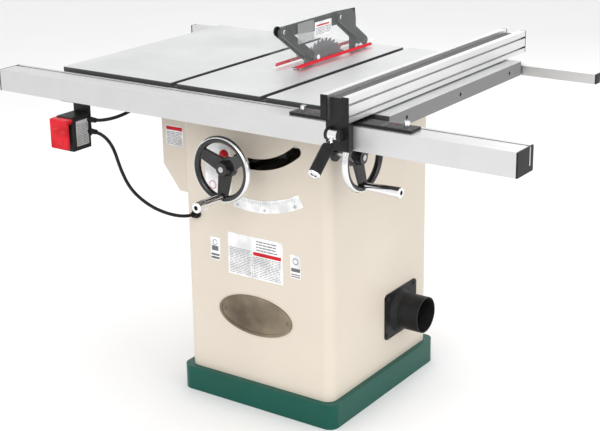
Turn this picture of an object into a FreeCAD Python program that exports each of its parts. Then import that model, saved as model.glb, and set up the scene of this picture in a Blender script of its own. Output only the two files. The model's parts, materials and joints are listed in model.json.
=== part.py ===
import FreeCAD, Part
import math
import os

from FreeCAD import Rotation, Vector

# A 10 inch cabinet table saw, in millimetres. X runs to the right along the front rail, Y to the back
# and Z up. The origin is the centre of the plinth's underside, on the floor.

doc = FreeCAD.newDocument("table_saw")
sheet = doc.addObject("Spreadsheet::Sheet", "dims")

DIMENSIONS = {
    # cabinet and plinth
    "cab_width": 472, "cab_depth": 509, "cab_wall": 2.5, "cab_corner": 28, "cab_flange": 24,
    "plinth_height": 69.5, "plinth_step": 17, "plinth_wall": 3, "plinth_ledge": 34,
    "cover_left": -349, "cover_front": -200, "cover_back": 160, "cover_top": 840,
    "cover_low": 553, "cover_knee_z": 624, "cover_knee_x": -294, "panel_thick": 2,
    # table
    "table_top": 906, "table_edge": 38, "table_web": 10, "table_rim": 12, "table_front": -364,
    "table_depth": 686, "main_left": -289, "main_width": 508, "wing_width": 255.5, "rib_thick": 8,
    "slot_width": 19.2, "slot_depth": 9.6, "slot_left_x": -161.5, "slot_right_x": 118.5,
    "throat_left": -56, "throat_width": 100, "throat_front": -95, "throat_depth": 357,
    "throat_ledge": 10, "insert_thick": 5.6, "fit_gap": 0.4,
    # rails
    "rail_left": -695, "rail_length": 1530, "rail_front": "=table_front - rail_gap - rail_depth",
    "rail_gap": 13, "rail_depth": 76, "rail_low": 839.5,
    "rail_height": 57, "rail_wall": 3.5, "rail_groove": 8, "rail_cap": 4,
    "rear_rail_left": -662, "rear_rail_length": 1345, "rear_rail_depth": 27, "rear_rail_low": 866.8,
    "rear_rail_height": 26, "rear_rail_gap": 6,
    # blade, arbor and arm
    "blade_x": -6, "blade_radius": 127, "blade_thick": 2.4, "bore_radius": 7.94,
    "arbor_y": 86, "arbor_z": 834, "pivot_y": -50, "pivot_z": 815, "shaft_radius": 7.5,
    "height_x": -36, "height_z": 691, "wheel_radius": 89, "wheel_front": -338,
    "tilt_y": -228, "tilt_z": 750, "tilt_wheel_x": "=cab_width / 2 + wheel_stand_off",
    "wheel_stand_off": 82, "worm_radius": 12, "run_gap": 0.05,
    # trunnions
    "tongue_inner": 96, "tongue_outer": 109, "bracket_inner": 85, "bracket_outer": 125,
    "groove_gap": 0.35, "front_web_y": -192, "web_thick": 21, "front_bracket_y": -170.5,
    "bracket_thick": 20, "rear_web_y": 217, "rear_web_thick": 11, "rear_bracket_y": 228.5,
    "rear_bracket_thick": 12.5, "tie_left_x": -154, "tie_left_z": 826, "tie_right_x": 44,
    "tie_right_z": 716, "tie_radius": 10,
    # motor
    "motor_y": -45, "motor_z": 710, "motor_radius": 62, "motor_length": 180, "belt_x": -93,
    "belt_width": 20, "arbor_pulley_radius": 32, "motor_pulley_radius": 36, "belt_thick": 4,
    # guard
    "guard_front_y": -113, "guard_front_z": 1011, "guard_span": 270, "guard_drop": 3,
    "link_run": 126, "link_fall": 86, "link_offset": 8, "link_thick": 5, "link_end": 13,
    "shield_offset": 28, "shield_thick": 3.2, "spine_front": 219, "spine_width": 24,
    # fence
    "fence_x": 401.5, "fence_width": 74, "fence_front": -479, "fence_length": 898,
    "fence_height": 58, "fence_lift": 4, "fence_face": 17, "tee_left": 152, "tee_right": 174, "tee_thick": 6.5,
    # switch
    "switch_left": -482, "switch_width": 58, "switch_back": -400, "switch_depth": 68,
    "switch_low": 709, "switch_height": 92,
    # dust port
    "port_y": 99, "port_z": 214, "port_radius": 51, "port_length": 83, "port_flange": 168,
    "port_flange_height": 134, "port_wall": 3,
    # cords
    "cord_radius": 4.5, "coil_radius": 50, "coil_x": -95, "coil_y": 395, "coil_height": 20,
}

for row, (alias, value) in enumerate(DIMENSIONS.items(), start=1):
    sheet.set("A%d" % row, alias)
    sheet.set("B%d" % row, str(value))
    sheet.setAlias("B%d" % row, alias)
doc.recompute()

NODES = []


def size(alias):
    """One driving dimension, read from the sheet."""
    return float(sheet.get(alias))


def bound(text):
    """An expression over the sheet's aliases."""
    words = []
    for word in text.replace("(", " ( ").replace(")", " ) ").split():
        words.append("dims." + word if word in DIMENSIONS else word)
    return " ".join(words)


def place(thing, x, y, z):
    """Bind a primitive's position to the sheet."""
    for axis, text in zip("xyz", (x, y, z)):
        thing.setExpression("Placement.Base." + axis, bound(str(text)))
    return thing


def box(name, length, width, height, x, y, z):
    """A Part box whose sizes and corner are expressions."""
    thing = doc.addObject("Part::Box", name)
    thing.setExpression("Length", bound(str(length)))
    thing.setExpression("Width", bound(str(width)))
    thing.setExpression("Height", bound(str(height)))
    return place(thing, x, y, z)


def rod(name, radius, length, x, y, z, along="z"):
    """A Part cylinder whose sizes and foot are expressions, lying along x, y or z."""
    thing = doc.addObject("Part::Cylinder", name)
    turns = {"x": Rotation(Vector(0, 1, 0), 90), "y": Rotation(Vector(1, 0, 0), -90), "z": Rotation()}
    thing.Placement = FreeCAD.Placement(Vector(), turns[along])
    thing.setExpression("Radius", bound(str(radius)))
    thing.setExpression("Height", bound(str(length)))
    return place(thing, x, y, z)


def joined(name, pieces):
    """A fusion of several objects."""
    thing = doc.addObject("Part::MultiFuse", name)
    thing.Shapes = pieces
    return thing


def grouped(name, pieces):
    """Separate solids that share one node."""
    thing = doc.addObject("Part::Compound", name)
    thing.Links = pieces
    return thing


def shaped(name, shape, placement=None):
    """A feature whose shape is worked out from the sheet."""
    thing = doc.addObject("Part::Feature", name)
    thing.Shape = shape
    thing.Placement = placement or FreeCAD.Placement()
    return thing


def node(name, thing):
    """Name a finished sub-part."""
    thing.Label = name
    NODES.append(thing)
    return thing


def block(x0, x1, y0, y1, z0, z1):
    """A solid box between two corners."""
    return Part.makeBox(x1 - x0, y1 - y0, z1 - z0, Vector(x0, y0, z0))


def rounded_block(x0, x1, y0, y1, z0, z1, radius):
    """A block with rounded upright edges."""
    solid = block(x0, x1, y0, y1, z0, z1)
    upright = [edge for edge in solid.Edges if abs(edge.tangentAt(edge.FirstParameter).z) > 0.9]
    return solid.makeFillet(radius, upright)


def drum(radius, length, start, axis):
    """A cylinder from a start point along an axis."""
    return Part.makeCylinder(radius, length, Vector(*start), Vector(*axis))


def prism_y(points, y0, y1):
    """A prism along Y from an outline in X and Z."""
    wire = Part.makePolygon([Vector(x, y0, z) for x, z in points + points[:1]])
    return Part.Face(wire).extrude(Vector(0, y1 - y0, 0))


def prism_x(points, x0, x1):
    """A prism along X from an outline in Y and Z."""
    wire = Part.makePolygon([Vector(x0, y, z) for y, z in points + points[:1]])
    return Part.Face(wire).extrude(Vector(x1 - x0, 0, 0))


def fused(solids):
    """One solid from several that meet."""
    whole = solids[0].multiFuse(solids[1:])
    return whole.removeSplitter()


# ---- cord routes ----

GLAND = (-191, -254.5, 522)

MOTOR_CORD = [
    (-424, -405, 753), (-398, -405, 753), (-374.5, -403, 744.5), (-356, -400, 727), (-346, -396, 703),
    (-341, -391, 675), (-334, -384, 642), (-321, -375, 606), (-300, -362, 576), (-271, -346, 551),
    (-242, -332, 537), (-217, -318, 529), (-199, -299, 524), (-192, -277, 522), (-191, -254.5, 522),
]

POWER_CORD = [
    (-424, -405, 785), (-398, -405, 785), (-375, -398, 788), (-357, -383, 792), (-346, -362, 797),
    (-340, -335, 803), (-334, -300, 814), (-322, -258, 833), (-306, -210, 850), (-293, -150, 854),
    (-288, -75, 853), (-291, 10, 854), (-288, 90, 853), (-290, 140, 853), (-292, 171, 846),
    (-291, 195, 829), (-289, 213, 804), (-288, 225, 766), (-290, 232, 706), (-288, 236, 610),
    (-291, 237, 500), (-289, 240, 390), (-291, 243, 280), (-289, 246, 190), (-288, 249, 130),
    (-286, 255, 85), (-280, 263, 50), (-268, 273, 24), (-250, 285, 9), (-226, 298, 5),
    (-201, 310, 5), (-179, 323, 5), (-161, 342, 5), (-146, 367, 5),
]


# ---- tilt geometry shared by the trunnions, the slot and the scale ----

BLADE_X = size("blade_x")
TOP = size("table_top")
TILT_ARM = math.hypot(size("height_x") - BLADE_X, size("height_z") - TOP)
REST_SWING = math.degrees(math.atan2(size("height_x") - BLADE_X, TOP - size("height_z")))
TILT_RANGE = 45


def sector_y(inner, outer, start, stop, y0, y1):
    """A ring sector about the tilt axis; angles run from straight down towards +X."""
    def spot(radius, swing):
        angle = math.radians(swing)
        return Vector(BLADE_X + radius * math.sin(angle), y0, TOP - radius * math.cos(angle))

    middle = (start + stop) / 2
    edges = [
        Part.Arc(spot(outer, start), spot(outer, middle), spot(outer, stop)).toShape(),
        Part.LineSegment(spot(outer, stop), spot(inner, stop)).toShape(),
        Part.Arc(spot(inner, stop), spot(inner, middle), spot(inner, start)).toShape(),
        Part.LineSegment(spot(inner, start), spot(outer, start)).toShape(),
    ]
    return Part.Face(Part.Wire(edges)).extrude(Vector(0, y1 - y0, 0))


def arc_slot(half, start, stop, y0, y1):
    """A slot round the tilt axis with round ends, at the height shaft's radius."""
    pieces = [sector_y(TILT_ARM - half, TILT_ARM + half, start, stop, y0, y1)]
    for swing in (start, stop):
        angle = math.radians(swing)
        foot = (BLADE_X + TILT_ARM * math.sin(angle), y0, TOP - TILT_ARM * math.cos(angle))
        pieces.append(drum(half, y1 - y0, foot, (0, 1, 0)))
    return fused(pieces)


# ---- plinth and cabinet ----

def base_plinth():
    """Welded plinth with a bottom pan and an inward ledge that the cabinet stands on."""
    half_x = size("cab_width") / 2 + size("plinth_step")
    half_y = size("cab_depth") / 2 + size("plinth_step")
    wall = size("plinth_wall")
    top = size("plinth_height")
    ledge = size("plinth_ledge")
    corner = size("cab_corner")
    shell = rounded_block(-half_x, half_x, -half_y, half_y, 0, top, corner)
    room = rounded_block(-half_x + wall, half_x - wall, -half_y + wall, half_y - wall, wall, top - wall,
                         corner - wall)
    mouth = block(-half_x + ledge, half_x - ledge, -half_y + ledge, half_y - ledge, top - 2 * wall, top)
    return node("base_plinth", shaped("base_plinth", shell.cut(room).cut(mouth)))


def cabinet_shell():
    """Sheet steel cabinet, open to the table, with its slot, ports and motor opening."""
    half_x = size("cab_width") / 2
    half_y = size("cab_depth") / 2
    wall = size("cab_wall")
    low = size("plinth_height")
    high = TOP - size("table_edge")
    corner = size("cab_corner")
    flange = size("cab_flange")
    shell = rounded_block(-half_x, half_x, -half_y, half_y, low, high, corner)
    shell = shell.cut(rounded_block(-half_x + wall, half_x - wall, -half_y + wall, half_y - wall,
                                    low - 1, high - wall, corner - wall))
    shell = shell.cut(block(-half_x + flange, half_x - flange, -half_y + flange, half_y - flange,
                            high - 2 * wall, high + 1))
    shell = shell.cut(block(-150, 150, -half_y + wall, half_y - wall, high - 2 * wall, high + 1))
    slot = arc_slot(15, REST_SWING - 4, REST_SWING + TILT_RANGE + 4, -half_y - 5, -half_y + 40)
    port = drum(size("port_radius") - 1, 30, (half_x - 15, size("port_y"), size("port_z")), (1, 0, 0))
    shaft = drum(16, 30, (half_x - 15, size("tilt_y"), size("tilt_z")), (1, 0, 0))
    motor = block(-half_x - 5, -half_x + 40, size("cover_front") + 4, size("cover_back") - 4,
                  size("cover_low") + 6, size("cover_top") - 4)
    access = block(-150, 150, half_y - 30, half_y + 5, 180, 520)
    gland = drum(10, 20, (GLAND[0], -half_y - 10, GLAND[2]), (0, 1, 0))
    return node("cabinet_shell", shaped("cabinet_shell", shell.cut([slot, port, shaft, motor, access,
            gland])))


def rear_panel():
    """Removable access panel on the back."""
    plate = box("rear_panel", 340, "panel_thick", 380, -170, "cab_depth / 2", 160)
    return node("rear_panel", plate)


def motor_cover():
    """Hollow cover over the motor on the left side, open towards the cabinet."""
    side = -size("cab_width") / 2
    left = size("cover_left")
    low = size("cover_low")
    top = size("cover_top")
    wall = size("cab_wall")
    outline = [(side, top), (left, top), (left, size("cover_knee_z")), (size("cover_knee_x"), low), (side,
            low)]
    inner = [(side + 1, top - wall), (left + wall, top - wall), (left + wall, size("cover_knee_z") + 1),
             (size("cover_knee_x") + 1, low + wall), (side + 1, low + wall)]
    shell = prism_y(outline, size("cover_front"), size("cover_back"))
    shell = shell.cut(prism_y(inner, size("cover_front") + wall, size("cover_back") - wall))
    return node("motor_cover", shaped("motor_cover", shell))


def screw_heads(name, places, axis, radius, height):
    """Pan heads with a short shank into the sheet, seated at the given places."""
    heads = []
    for index, spot in enumerate(places):
        foot = Vector(*spot)
        way = Vector(*axis)
        head = Part.makeCylinder(radius, height, foot, way)
        rim = [edge for edge in head.Edges if edge.Curve.TypeId == "Part::GeomCircle"
               and (edge.Curve.Center - foot).dot(way) > height / 2]
        head = head.makeFillet(min(height * 0.45, radius * 0.4), rim)
        socket = Part.makeCylinder(radius * 0.45, height * 0.5, foot + way * (height * 0.6), way)
        heads.append(shaped("%s_%d" % (name, index + 1), head.cut(socket)))
    return grouped(name, heads)


def cover_screws():
    """Screw heads of the rear panel and of the motor cover's ears."""
    back = size("cab_depth") / 2 + size("panel_thick")
    spots = [(x, back, z) for x in (-155, 155) for z in (172, 350, 528)]
    return screw_heads("panel_screws", spots, (0, 1, 0), 5, 3.5)


def dust_port():
    """Hose port with a flange and a coned neck."""
    face = size("cab_width") / 2
    y, z = size("port_y"), size("port_z")
    radius, long, wall = size("port_radius"), size("port_length"), size("port_wall")
    wide, tall = size("port_flange") / 2, size("port_flange_height") / 2
    plate = rounded_flange(face, face + 4, y - wide, y + wide, z - tall, z + tall, 12)
    tube = drum(radius, long, (face, y, z), (1, 0, 0))
    neck = Part.makeCone(radius + 11, radius, 16, Vector(face + 4, y, z), Vector(1, 0, 0))
    bore = drum(radius - wall, long + 2, (face - 1, y, z), (1, 0, 0))
    return node("dust_port", shaped("dust_port", fused([plate, tube, neck]).cut(bore)))


def rounded_flange(x0, x1, y0, y1, z0, z1, radius):
    """A plate across X with rounded corners."""
    solid = block(x0, x1, y0, y1, z0, z1)
    edges = [edge for edge in solid.Edges if abs(edge.tangentAt(edge.FirstParameter).x) > 0.9]
    return solid.makeFillet(radius, edges)


def port_screws():
    """Four screws of the dust port's flange."""
    face = size("cab_width") / 2 + 4
    wide, tall = size("port_flange") / 2 - 12, size("port_flange_height") / 2 - 12
    spots = [(face, size("port_y") + a * wide, size("port_z") + b * tall) for a in (-1, 1) for b in (-1, 1)]
    return screw_heads("port_screws", spots, (1, 0, 0), 5, 3.5)


def dust_tray():
    """Sloping sheet inside the cabinet that leads the dust to the port."""
    half_x = size("cab_width") / 2 - size("cab_wall")
    half_y = size("cab_depth") / 2 - size("cab_wall")
    low = size("port_z") - size("port_radius") - 2
    outline = [(-half_x, low + 150), (half_x, low), (half_x, low - 2), (-half_x, low + 148)]
    corner = size("cab_corner")
    sheet_metal = prism_y(outline, -half_y, half_y)
    inside = rounded_block(-half_x, half_x, -half_y, half_y, 0, TOP, corner - size("cab_wall"))
    return node("dust_tray", shaped("dust_tray", sheet_metal.common(inside)))


# ---- table ----

def main_table():
    """Cast iron centre table with its slots, throat, rims, ribs and cabinet pads."""
    left, front = size("main_left"), size("table_front")
    wide, deep = size("main_width"), size("table_depth")
    rim, web, low = size("table_rim"), size("table_web"), TOP - size("table_edge")
    body = block(left, left + wide, front, front + deep, low, TOP)
    body = body.cut(block(left + rim, left + wide - rim, front + rim, front + deep - rim, low - 1, TOP - web))
    half_x = size("cab_width") / 2
    half_y = size("cab_depth") / 2
    right_pad = left + wide - rim - 40
    for x0 in (-half_x + 3, right_pad):
        for y0 in (-half_y + 3, half_y - 43):
            body = body.fuse(block(x0, x0 + 40, y0, y0 + 40, low, TOP - web))
    half = size("slot_width") / 2
    under = size("slot_depth") + 6
    for x in (size("slot_left_x"), size("slot_right_x")):
        body = body.fuse(block(x - half - 6, x + half + 6, front + 1, front + deep - 1, TOP - under,
                               TOP - web))
        body = body.cut(block(x - half, x + half, front - 1, front + deep + 1, TOP - size("slot_depth"),
                              TOP + 1))
    tx, ty = size("throat_left"), size("throat_front")
    tw, td, ledge = size("throat_width"), size("throat_depth"), size("throat_ledge")
    body = body.cut(block(tx, tx + tw, ty, ty + td, TOP - size("insert_thick"), TOP + 1))
    body = body.cut(block(tx + ledge, tx + tw - ledge, ty + ledge, ty + td - ledge, low, TOP))
    return node("main_table", shaped("main_table", body))


def wing(name, left, holes_at):
    """Cast iron extension wing with rims, two ribs and three bolt holes in its outer rim."""
    front, deep, wide = size("table_front"), size("table_depth"), size("wing_width")
    rim, web, low = size("table_rim"), size("table_web"), TOP - size("table_edge")
    rib = size("rib_thick")
    body = block(left, left + wide, front, front + deep, low, TOP)
    for index in range(3):
        room = (deep - 2 * rim - 2 * rib) / 3
        y0 = front + rim + index * (room + rib)
        body = body.cut(block(left + rim, left + wide - rim, y0, y0 + room, low - 1, TOP - web))
    for y in (front + deep * 0.115, front + deep * 0.5, front + deep * 0.9):
        body = body.cut(drum(5, 30, (holes_at - 15, y, TOP - 20), (1, 0, 0)))
    return node(name, shaped(name, body))


def table_bolts():
    """Bolts up through the cabinet's flange into the table's four pads."""
    high = TOP - size("table_edge") - size("cab_wall")
    half_x, half_y = size("cab_width") / 2, size("cab_depth") / 2
    right = size("main_left") + size("main_width") - size("table_rim") - 12
    spots = [(x, y, high) for x in (-half_x + 16, half_x - 13) for y in (-half_y + 16, half_y - 16)]
    spots = [(min(x, right + 10), y, z) for x, y, z in spots]
    return screw_heads("table_bolts", spots, (0, 0, -1), 6, 5)


def wing_bolts():
    """Hexagon heads inside the wings' inner rims."""
    heads = []
    rim = size("table_rim")
    left_joint = size("main_left") - rim
    right_joint = size("main_left") + size("main_width") + rim
    for x, way in ((left_joint, -1), (right_joint, 1)):
        for share in (0.115, 0.5, 0.9):
            y = size("table_front") + size("table_depth") * share
            heads.append(hexagon(8, 6, (x, y, TOP - 20), (way, 0, 0)))
    return grouped("wing_bolts", [shaped("wing_bolt_%d" % (index + 1), head) for index,
                                  head in enumerate(heads)])


def hexagon(radius, height, foot, axis):
    """A hexagon head standing on its foot along an axis."""
    start, way = Vector(*foot), Vector(*axis)
    side = Vector(0, 0, 1) if abs(way.z) < 0.5 else Vector(1, 0, 0)
    other = way.cross(side)
    corners = []
    for step in range(7):
        angle = math.radians(60 * step)
        corners.append(start + side * (radius * math.cos(angle)) + other * (radius * math.sin(angle)))
    return Part.Face(Part.makePolygon(corners)).extrude(way * height)


def throat_insert():
    """Slotted plate round the blade, with a finger hole."""
    gap = size("fit_gap")
    x0, y0 = size("throat_left") + gap, size("throat_front") + gap
    x1, y1 = x0 + size("throat_width") - 2 * gap, y0 + size("throat_depth") - 2 * gap
    plate = block(x0, x1, y0, y1, TOP - size("insert_thick"), TOP)
    edges = [edge for edge in plate.Edges if abs(edge.tangentAt(edge.FirstParameter).z) > 0.9]
    plate = plate.makeFillet(3, edges)
    slot = block(BLADE_X - 3.5, BLADE_X + 10, y0 + 32, y1 - 6, TOP - 10, TOP + 1)
    finger = drum(9, 12, ((x0 + x1) / 2 + 22, y0 + 20, TOP - 10), (0, 0, 1))
    return node("throat_insert", shaped("throat_insert", plate.cut(slot).cut(finger)))


# ---- rails ----

def front_rail():
    """Square aluminium rail, hollow, with a groove along its top for the scale and cursor keys."""
    x0, y0, z0 = size("rail_left"), size("rail_front"), size("rail_low")
    long, deep, tall = size("rail_length"), size("rail_depth"), size("rail_height")
    wall, groove = size("rail_wall"), size("rail_groove")
    body = block(x0, x0 + long, y0, y0 + deep, z0, z0 + tall)
    body = body.cut(block(x0 - 1, x0 + long + 1, y0 + wall, y0 + deep * 0.66, z0 + wall, z0 + tall - wall))
    body = body.cut(block(x0 - 1, x0 + long + 1, y0 + deep * 0.66 + wall, y0 + deep - wall,
                          z0 + wall, z0 + tall - 4 * wall))
    slot_y = y0 + deep * 0.76
    body = body.cut(block(x0 - 1, x0 + long + 1, slot_y, slot_y + groove, z0 + tall - 2 * wall,
                          z0 + tall + 1))
    return node("front_rail", shaped("front_rail", body))


def front_rail_bar():
    """Mounting bar between the table's front edge and the rail."""
    back = "rail_front + rail_depth"
    deep = "table_front - rail_front - rail_depth"
    bar = box("front_rail_bar", "wing_width * 2 + main_width - 20", deep, 30, "main_left - wing_width + 10",
              back, "rail_low + 4")
    return bar


def rail_caps(name, x0, x1, y, z, deep, tall, thick):
    """A pair of end caps on a rail."""
    caps = []
    for index, x in enumerate((x0 + " - " + thick, x1)):
        caps.append(box("%s_%d" % (name, index + 1), thick, deep, tall, x, y, z))
    return grouped(name, caps)


def rear_rail():
    """Angle rail along the table's back edge."""
    x0, long = size("rear_rail_left"), size("rear_rail_length")
    y0 = size("table_front") + size("table_depth") + size("rear_rail_gap")
    deep, z0, tall = size("rear_rail_depth"), size("rear_rail_low"), size("rear_rail_height")
    body = block(x0, x0 + long, y0, y0 + deep, z0, z0 + tall)
    body = body.cut(block(x0 - 1, x0 + long + 1, y0 + 3, y0 + deep - 3, z0 + 3, z0 + tall - 3))
    return node("rear_rail", shaped("rear_rail", body))


def rear_spacers():
    """Spacers between the table and the rear rail, on the rail's bolts."""
    y = "table_front + table_depth"
    pieces = []
    for index, x in enumerate((-500, -330, -180, 110, 280, 440)):
        pieces.append(rod("rear_spacer_%d" % (index + 1), 8, "rear_rail_gap", x, y,
                          "rear_rail_low + rear_rail_height / 2", "y"))
    return grouped("rear_rail_spacers", pieces)


def rail_bolts():
    """Heads of the bolts under the front rail."""
    spots = [(x, size("rail_front") + 24, size("rail_low")) for x in (-640, -380, 120, 760)]
    return screw_heads("rail_bolts", spots, (0, 0, -1), 6, 5)


# ---- plates on the front ----

def scale_plate():
    """Curved tilt scale below the slot."""
    front = -size("cab_depth") / 2
    plate = sector_y(TILT_ARM + 96, TILT_ARM + 130, -10, 28, front - 1, front)
    return shaped("scale_plate", plate)


def scale_screws():
    """Three screws of the tilt scale."""
    front = -size("cab_depth") / 2 - 1
    radius = TILT_ARM + 122
    spots = []
    for swing in (-8, 7, 24):
        angle = math.radians(swing)
        spots.append((BLADE_X + radius * math.sin(angle), front, TOP - radius * math.cos(angle)))
    return screw_heads("scale_screws", spots, (0, -1, 0), 4, 2.5)


def badge_plate():
    """Bare oval badge with a raised rim and two rivets."""
    front = -size("cab_depth") / 2
    centre = Vector(-4, front, 265)
    def oval(a, b, thick):
        curve = Part.Ellipse(Vector(0, 0, 0), a, b)
        solid = Part.Face(Part.Wire(curve.toShape())).extrude(Vector(0, 0, thick))
        solid.rotate(Vector(), Vector(1, 0, 0), 90)
        solid.translate(centre)
        return solid
    plate = oval(120, 56, 1.6)
    rim = oval(120, 56, 3).cut(oval(112, 48, 4))
    pieces = [plate, rim]
    for side in (-1, 1):
        pieces.append(drum(4, 3.2, (centre.x + side * 102, front, centre.z), (0, -1, 0)))
    return node("badge_plate", shaped("badge_plate", fused(pieces)))


def data_plates():
    """Three bare plates and a round one."""
    pieces = []
    for index, (x0, z0, wide, tall) in enumerate(((-89, 372, 178, 117), (-149, 400, 32, 64), (114, 400, 32,
            64))):
        pieces.append(box("data_plate_%d" % (index + 1), wide, 0.8, tall, x0, "0 - cab_depth / 2 - 0.8", z0))
    return grouped("data_plates", pieces)


# ---- tilting carriage ----

def bracket(name, y0, thick, groove_from):
    """Fixed crescent under the table with an arc groove and two ears."""
    inner, outer = size("bracket_inner"), size("bracket_outer")
    under = TOP - size("table_web")
    solid = sector_y(inner, outer, -62, 62, y0, y0 + thick)
    for x0 in (BLADE_X - outer + 17, BLADE_X + outer - 51):
        solid = solid.fuse(block(x0, x0 + 34, y0, y0 + thick, TOP - 72, under))
    gap = size("groove_gap")
    groove = sector_y(size("tongue_inner") - gap, size("tongue_outer") + gap, -75, 75, groove_from,
                      groove_from + 8)
    return shaped(name, solid.cut(groove))


def trunnion_brackets():
    """Front and rear fixed crescents bolted to the table."""
    front = bracket("front_bracket", size("front_bracket_y"), size("bracket_thick"),
                    size("front_bracket_y") - 0.5)
    rear = bracket("rear_bracket", size("rear_bracket_y"), size("rear_bracket_thick"),
                   size("rear_bracket_y") - 0.5)
    return node("trunnion_brackets", grouped("trunnion_brackets", [front, rear]))


def web_outline():
    """Outline of a moving web in X and Z, between the tongue and the two tie bars."""
    lx, lz = size("tie_left_x"), size("tie_left_z")
    rx, rz = size("tie_right_x"), size("tie_right_z")
    return [(lx - 18, lz + 16), (lx + 16, lz + 18), (BLADE_X - 62, TOP - 68), (BLADE_X + 28, TOP - 92),
            (rx + 18, rz + 16), (rx + 18, rz - 18), (rx - 22, rz - 22), (size("height_x") - 22,
                    size("height_z") - 22),
            (size("height_x") - 46, size("height_z") + 4), (lx - 18, lz - 18)]


def front_trunnion():
    """Front moving web with tongue, toothed tilt sector, height shaft boss and the arm's lugs."""
    y0 = size("front_web_y")
    y1 = y0 + size("web_thick")
    px, pz, py = BLADE_X, size("pivot_z"), size("pivot_y")
    pieces = [prism_y(web_outline(), y0, y1)]
    pieces.append(sector_y(size("tongue_inner"), size("tongue_outer"), -55, 15, y1 - 1, y1 + 8))
    reach = TOP - size("tilt_z")
    sector_out = reach - size("worm_radius") - 0.5
    pieces.append(sector_y(sector_out - 26, sector_out - 6, -48, 4, y0 - 28, y0 + 1))
    pieces.append(sector_y(sector_out - 20, sector_out - 6, -52, 7, y0 - 44, y0 - 27))
    teeth = 22
    for index in range(teeth):
        angle = -51 + index * 57 / (teeth - 1)
        pieces.append(sector_y(sector_out - 7, sector_out, angle - 0.65, angle + 0.65, y0 - 44, y0 - 28))
    pieces.append(block(px - 130, px - 114, y1 - 1, py + 20, pz - 20, pz + 20))
    pieces.append(block(px - 14, px - 6, y1 - 1, py + 22, TOP - 165, TOP - 130))
    pieces.append(block(px - 14, px - 6, y1 + 23, py + 22, TOP - 131, pz + 22))
    boss = (size("height_x"), y0 - 6, size("height_z"))
    pieces.append(drum(18, 34, boss, (0, 1, 0)))
    solid = fused(pieces)
    solid = solid.cut(drum(size("shaft_radius") + size("run_gap"), 60, (boss[0], y0 - 10, boss[2]), (0, 1,
            0)))
    pin = size("worm_radius")
    solid = solid.cut(drum(pin, 200, (px - 140, py, pz), (1, 0, 0)))
    for x, z in tie_places():
        solid = solid.cut(drum(size("tie_radius"), 40, (x, y0 + 6, z), (0, 1, 0)))
    return node("front_trunnion", shaped("front_trunnion", solid))


def tie_places():
    """The two tie bars in X and Z."""
    return [(size("tie_left_x"), size("tie_left_z")), (size("tie_right_x"), size("tie_right_z"))]


def rear_trunnion():
    """Rear moving web with its tongue and the notch for the riving knife."""
    y0 = size("rear_web_y")
    y1 = y0 + size("rear_web_thick")
    pieces = [prism_y(web_outline(), y0, y1)]
    pieces.append(sector_y(size("tongue_inner"), size("tongue_outer"), -55, 15, y1 - 1, y1 + 7.5))
    solid = fused(pieces)
    lug = block(BLADE_X + size("blade_thick") / 2, BLADE_X + 16, y0, y1, TOP - 110, TOP - 44)
    solid = solid.fuse(lug)
    for x, z in tie_places():
        solid = solid.cut(drum(size("tie_radius"), 40, (x, y0 - 30, z), (0, 1, 0)))
        solid = solid.fuse(drum(size("tie_radius") + 6, 3, (x, y1 - 3, z), (0, 1, 0)))
    return node("rear_trunnion", shaped("rear_trunnion", solid))


def tie_bars():
    """Two bars that join the webs."""
    y0 = size("front_web_y") + 6
    long = size("rear_web_y") + size("rear_web_thick") - 3 - y0
    bars = []
    for index, (x, z) in enumerate((("tie_left_x", "tie_left_z"), ("tie_right_x", "tie_right_z"))):
        bars.append(rod("tie_bar_%d" % (index + 1), "tie_radius", long, x, y0, z, "y"))
    return grouped("tie_bars", bars)


def arm_pin():
    """Pin that carries the arbor arm between the two lugs."""
    pin = rod("arm_pin", "worm_radius", 132, "blade_x - 134", "pivot_y", "pivot_z", "x")
    return pin


def worm(start, axis, length, radius, core):
    """A worm drawn as a grooved roller."""
    way = Vector(*axis)
    foot = Vector(*start)
    solid = Part.makeCylinder(core, length, foot, way)
    pitch = 7
    count = int(length / pitch)
    for index in range(count):
        base = foot + way * (index * pitch + 1.5)
        solid = solid.fuse(Part.makeCone(core, radius, 1.5, base, way))
        solid = solid.fuse(Part.makeCylinder(radius, 1, base + way * 1.5, way))
        solid = solid.fuse(Part.makeCone(radius, core, 1.5, base + way * 2.5, way))
    return solid


def height_shaft():
    """Shaft of the front handwheel with its worm."""
    x, z, r = size("height_x"), size("height_z"), size("shaft_radius")
    y0 = size("wheel_front") - 6
    y1 = size("pivot_y") + 24
    shaft = drum(r, y1 - y0, (x, y0, z), (0, 1, 0))
    shaft = shaft.fuse(worm((x, size("pivot_y") - 22, z), (0, 1, 0), 44, size("worm_radius"), 9))
    collar = drum(13, 8, (x, size("front_web_y") - 14.4, z), (0, 1, 0))
    stop = drum(13, 8, (x, size("front_web_y") + 28.4, z), (0, 1, 0))
    return node("height_shaft", shaped("height_shaft", shaft.fuse([collar, stop])))


def tilt_shaft():
    """Shaft of the side handwheel with its worm under the toothed sector."""
    y, z, r = size("tilt_y"), size("tilt_z"), size("shaft_radius")
    x0 = BLADE_X - 26
    x1 = size("tilt_wheel_x") + 6
    shaft = drum(r, x1 - x0, (x0, y, z), (1, 0, 0))
    shaft = shaft.fuse(worm((BLADE_X - 22, y, z), (1, 0, 0), 44, size("worm_radius"), 9))
    half = size("cab_width") / 2
    collar = drum(13, 8, (half - size("cab_wall") - 12.4, y, z), (1, 0, 0))
    return node("tilt_shaft", shaped("tilt_shaft", shaft.fuse(collar)))


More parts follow.
